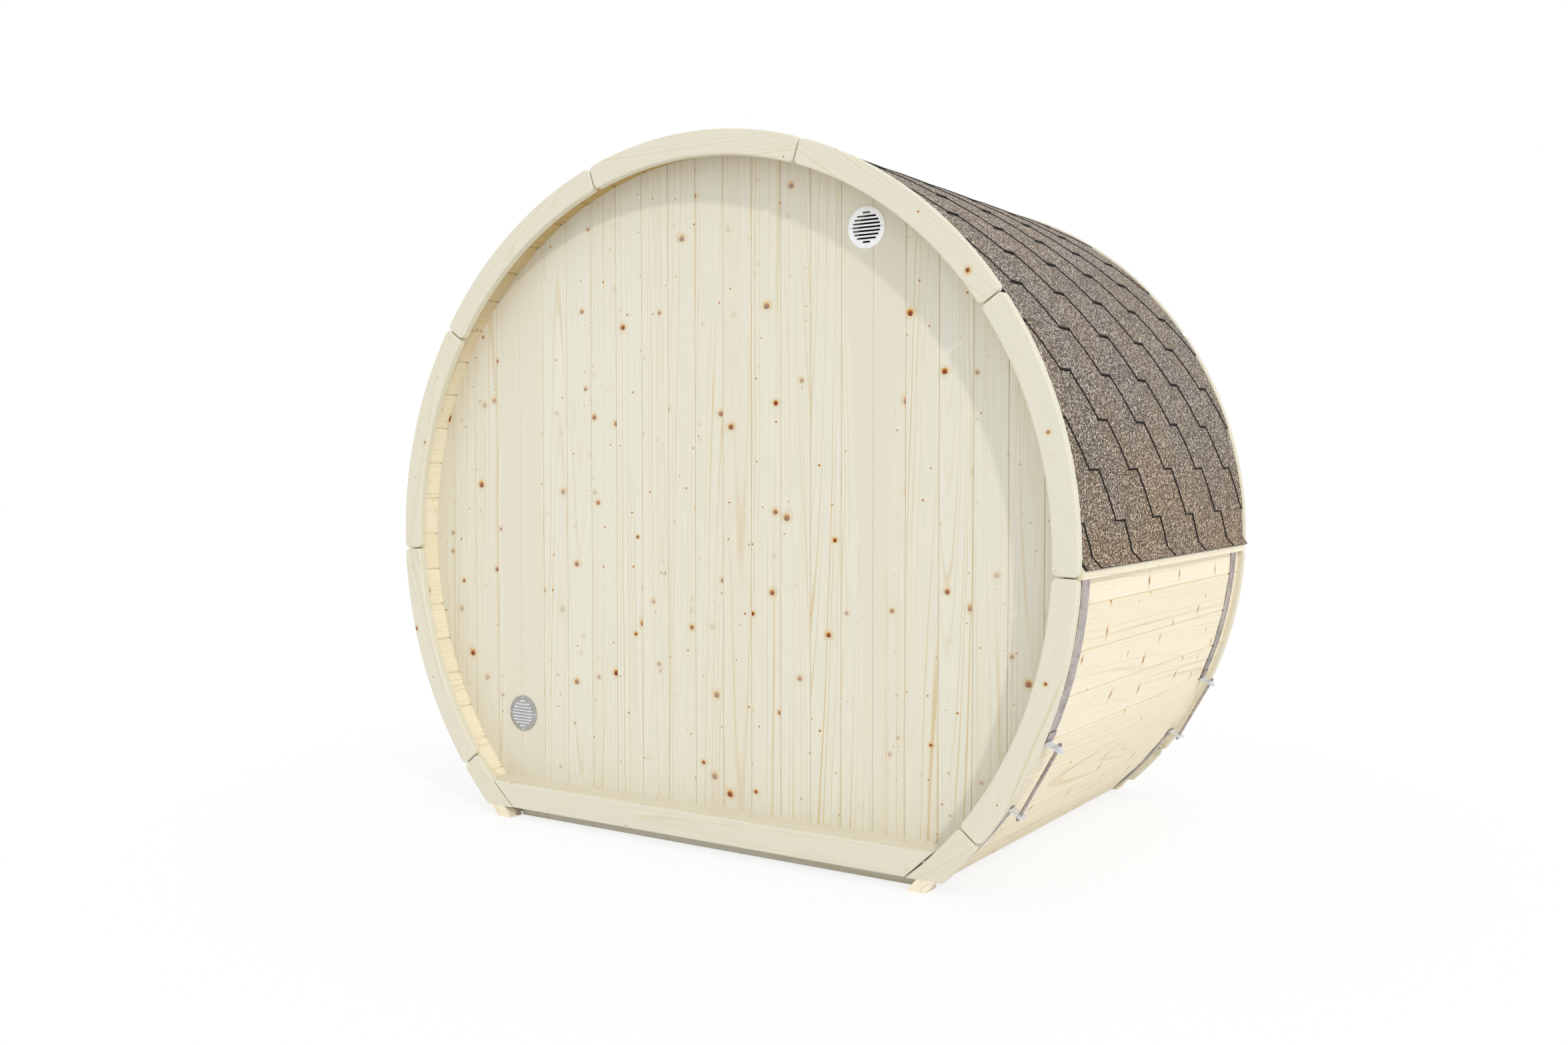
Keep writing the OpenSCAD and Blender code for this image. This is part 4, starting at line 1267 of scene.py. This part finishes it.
class SAUNA_OT_door(Operator):
    """Hang the boarded door with its frame, hinges and grip"""

    bl_idname = "sauna.door"
    bl_label = "Door"

    def execute(self, context):
        sizes = context.scene.sauna_sizes
        self.leaf(sizes)
        self.door_frame(sizes)
        self.grip()
        self.hinges(sizes)
        return {"FINISHED"}

    def leaf(self, sizes):
        """Upright boards of the door leaf."""
        low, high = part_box("door_leaf")
        count = round((high.x - low.x) / sizes.board_pitch)
        pitch = (high.x - low.x) / count
        boards = Boards("door_leaf_boards")
        for i in range(count):
            board = block(high.z - low.z, pitch, high.y - low.y)
            round_off(board, long_edges(board), sizes.board_groove, segments=1)
            boards.add(board, upright(low.x + (i + 0.5) * pitch, high.y, (low.z + high.z) / 2, "front"))
        boards.piece("planed_wall_boards", "wall_timber", "door_leaf")

    def door_frame(self, sizes):
        """Posts, head and sill of the door frame."""
        low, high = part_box("door_frame")
        leaf_low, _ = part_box("door_leaf")
        member = leaf_low.x - sizes.door_gap - low.x
        boards = Boards("door_frame_boards")
        for x in (low.x + member / 2, high.x - member / 2):
            post = block(high.z - low.z, member, high.y - low.y)
            round_off(post, post.edges, sizes.plank_edge)
            boards.add(post, upright(x, high.y, (low.z + high.z) / 2, "front"))
        for z in (low.z + member / 2, high.z - member / 2):
            rail = block(high.x - low.x - 2 * member, member, high.y - low.y)
            round_off(rail, long_edges(rail), sizes.plank_edge)
            boards.add(rail, placing((-1, 0, 0), (0, 0, 1), (0, 1, 0), (0, high.y, z)))
        boards.piece("planed_rings", "ring_timber", "door_frame")

    def grip(self):
        """A round grip on two posts."""
        low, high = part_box("door_handle")
        grip_d = high.x - low.x
        boards = Boards("door_handle_grip")
        centre = (low + high) / 2
        bar_y = high.y - grip_d / 2
        bar = dowel(grip_d, high.z - low.z, grip_d / 5)
        boards.add(bar, placing((0, 0, 1), (1, 0, 0), (0, 1, 0), (centre.x, bar_y, centre.z)))
        post_d, reach, post_edge = 0.7 * grip_d, bar_y - low.y, 0.001
        for z in (-1, 1):
            at = (centre.x, low.y + reach / 2, centre.z + z * (high.z - low.z) / 3)
            boards.add(dowel(post_d, reach, post_edge), placing((0, 1, 0), (0, 0, 1), (1, 0, 0), at))
        smooth_over(boards.piece("planed_rings", "ring_timber", "door_handle"), SMOOTH_GRIP)

    def hinges(self, sizes):
        """Two butt hinges, each with two plates, five knuckles and eight screws."""
        low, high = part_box("door_hinges")
        middle = (low.x + high.x) / 2
        height, knuckle_d, off = sizes.hinge_h, sizes.knuckle_d, sizes.hinge_screw_off
        width = (high.x - low.x) / 2 - knuckle_d / 3
        front = low.y + sizes.hinge_t
        step = height / 5
        bm = bmesh.new()
        for z in (low.z + height / 2, high.z - height / 2):
            for side in (-1, 1):
                plate = block(width, height, sizes.hinge_t)
                round_off(plate, plate.edges, sizes.hinge_edge)
                x = middle + side * (width / 2 + knuckle_d / 3)
                merge(bm, plate, placing((-1, 0, 0), (0, 0, 1), (0, 1, 0), (x, front, z)))
                for i in range(4):
                    screw = dowel(sizes.hinge_screw, sizes.hinge_screw_h, sizes.screw_edge, segments=16)
                    at = (x + (off if i % 2 else -off), front, z + (i - 1.5) * step)
                    merge(bm, screw, placing((0, 1, 0), (0, 0, 1), (1, 0, 0), at))
            for i in range(5):
                knuckle = dowel(knuckle_d, step - sizes.knuckle_gap, sizes.hinge_edge, segments=24)
                at = (middle, low.y + knuckle_d / 2, z + (i - 2) * step)
                merge(bm, knuckle, placing((0, 0, 1), (1, 0, 0), (0, 1, 0), at))
        obj = make_piece(bm, "door_hinge_pair", ["zinc_fittings"], "zinc_steel", "door_hinges")
        smooth_over(obj, SMOOTH_STEEL)


class SAUNA_OT_stage(Operator):
    """Set the floor, the light and the camera"""

    bl_idname = "sauna.stage"
    bl_label = "Stage"

    def execute(self, context):
        scene = context.scene
        scene.view_settings.view_transform = "Standard"
        self.surroundings(scene)
        self.floor()
        self.key_light(scene)
        self.camera(scene)
        return {"FINISHED"}

    def surroundings(self, scene):
        """Even light from all round, white where the camera or a gloss sees it."""
        world = bpy.data.worlds.new("Studio")
        world.use_nodes = True
        scene.world = world
        bench = NodeBench(world.node_tree)
        path = bench.add("ShaderNodeLightPath").outputs
        seen = bench.math("MAXIMUM", path["Is Camera Ray"], path["Is Glossy Ray"])
        seen = bench.math("MAXIMUM", seen, path["Is Transmission Ray"])
        light_level, light_tone, white = 0.935, (0.985, 1.0, 1.015, 1.0), (1.0, 1.0, 1.0, 1.0)
        levels = {"Value": seen, "To Min": light_level, "To Max": 1.0}
        back = world.node_tree.nodes["Background"]
        bench.feed(back.inputs["Color"], bench.mix(seen, light_tone, white))
        bench.feed(back.inputs["Strength"], bench.add("ShaderNodeMapRange", levels).outputs[0])

    def floor(self):
        """A pale floor that keeps the shadow and fades to white."""
        bm = bmesh.new()
        bmesh.ops.create_grid(bm, x_segments=1, y_segments=1, size=30)
        obj = new_object(bm, "studio_floor")
        bench, shader = new_finish("studio_floor")
        shader.inputs["Base Color"].default_value = (0.9, 0.9, 0.9, 1)
        shader.inputs["Roughness"].default_value = 0.9
        path = bench.add("ShaderNodeLightPath").outputs
        away = bench.between(bench.vector("LENGTH", bench.place()), 1.3, 2.6, 0.8, 1.0)
        seen = bench.math("MAXIMUM", path["Is Camera Ray"], path["Is Glossy Ray"])
        white = bench.add("ShaderNodeEmission", {"Color": (1, 1, 1, 1), "Strength": 1.0})
        blend = bench.add(
            "ShaderNodeMixShader",
            {0: bench.math("MULTIPLY", away, seen), 1: shader.outputs[0], 2: white.outputs[0]},
        )
        bench.feed(bench.tree.nodes["Material Output"].inputs["Surface"], blend.outputs[0])
        obj.data.materials.append(bpy.data.materials["studio_floor"])

    def key_light(self, scene):
        """A soft key light from the upper right of the rear end."""
        lamp = bpy.data.lights.new("key_light", "SUN")
        lamp.energy = 0.98
        lamp.angle = math.radians(2.5)
        lamp.color = (1.0, 0.97, 0.9)
        obj = bpy.data.objects.new("key_light", lamp)
        obj.rotation_euler = Vector((-0.706, 0.47, -0.53)).to_track_quat("-Z", "Y").to_euler()
        scene.collection.objects.link(obj)

    def camera(self, scene):
        """The camera at the photograph's place."""
        data = bpy.data.cameras.new("camera")
        data.sensor_width = 36
        data.sensor_fit = "HORIZONTAL"
        data.lens = 32.826
        obj = bpy.data.objects.new("camera", data)
        obj.location = (2.617875, -4.275221, 1.192141)
        obj.rotation_euler = (math.radians(90 - 2.37598), 0, math.radians(33.06701))
        scene.collection.objects.link(obj)
        scene.camera = obj


OPERATORS = (
    SAUNA_OT_finishes, SAUNA_OT_staves, SAUNA_OT_rings, SAUNA_OT_floor, SAUNA_OT_walls,
    SAUNA_OT_roof, SAUNA_OT_bands, SAUNA_OT_vents, SAUNA_OT_door, SAUNA_OT_stage,
)


class SAUNA_PT_sidebar(Panel):
    """Lists the steps that dress the sauna"""

    bl_idname = "SAUNA_PT_sidebar"
    bl_label = "Barrel sauna"
    bl_space_type = "VIEW_3D"
    bl_region_type = "UI"
    bl_category = "Sauna"

    def draw(self, context):
        for step in OPERATORS:
            self.layout.operator(step.bl_idname)


CLASSES = (SaunaSizes, SaunaColours, *OPERATORS, SAUNA_PT_sidebar)


def register():
    for cls in CLASSES:
        bpy.utils.register_class(cls)
    bpy.types.Scene.sauna_sizes = PointerProperty(type=SaunaSizes)
    bpy.types.Scene.sauna_colours = PointerProperty(type=SaunaColours)


def unregister():
    del bpy.types.Scene.sauna_colours
    del bpy.types.Scene.sauna_sizes
    for cls in reversed(CLASSES):
        bpy.utils.unregister_class(cls)


def main():
    """Dresses the sauna step by step."""
    register()
    for step in OPERATORS:
        group, name = step.bl_idname.split(".")
        getattr(getattr(bpy.ops, group), name)()
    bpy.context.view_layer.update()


if __name__ == "__main__":
    main()
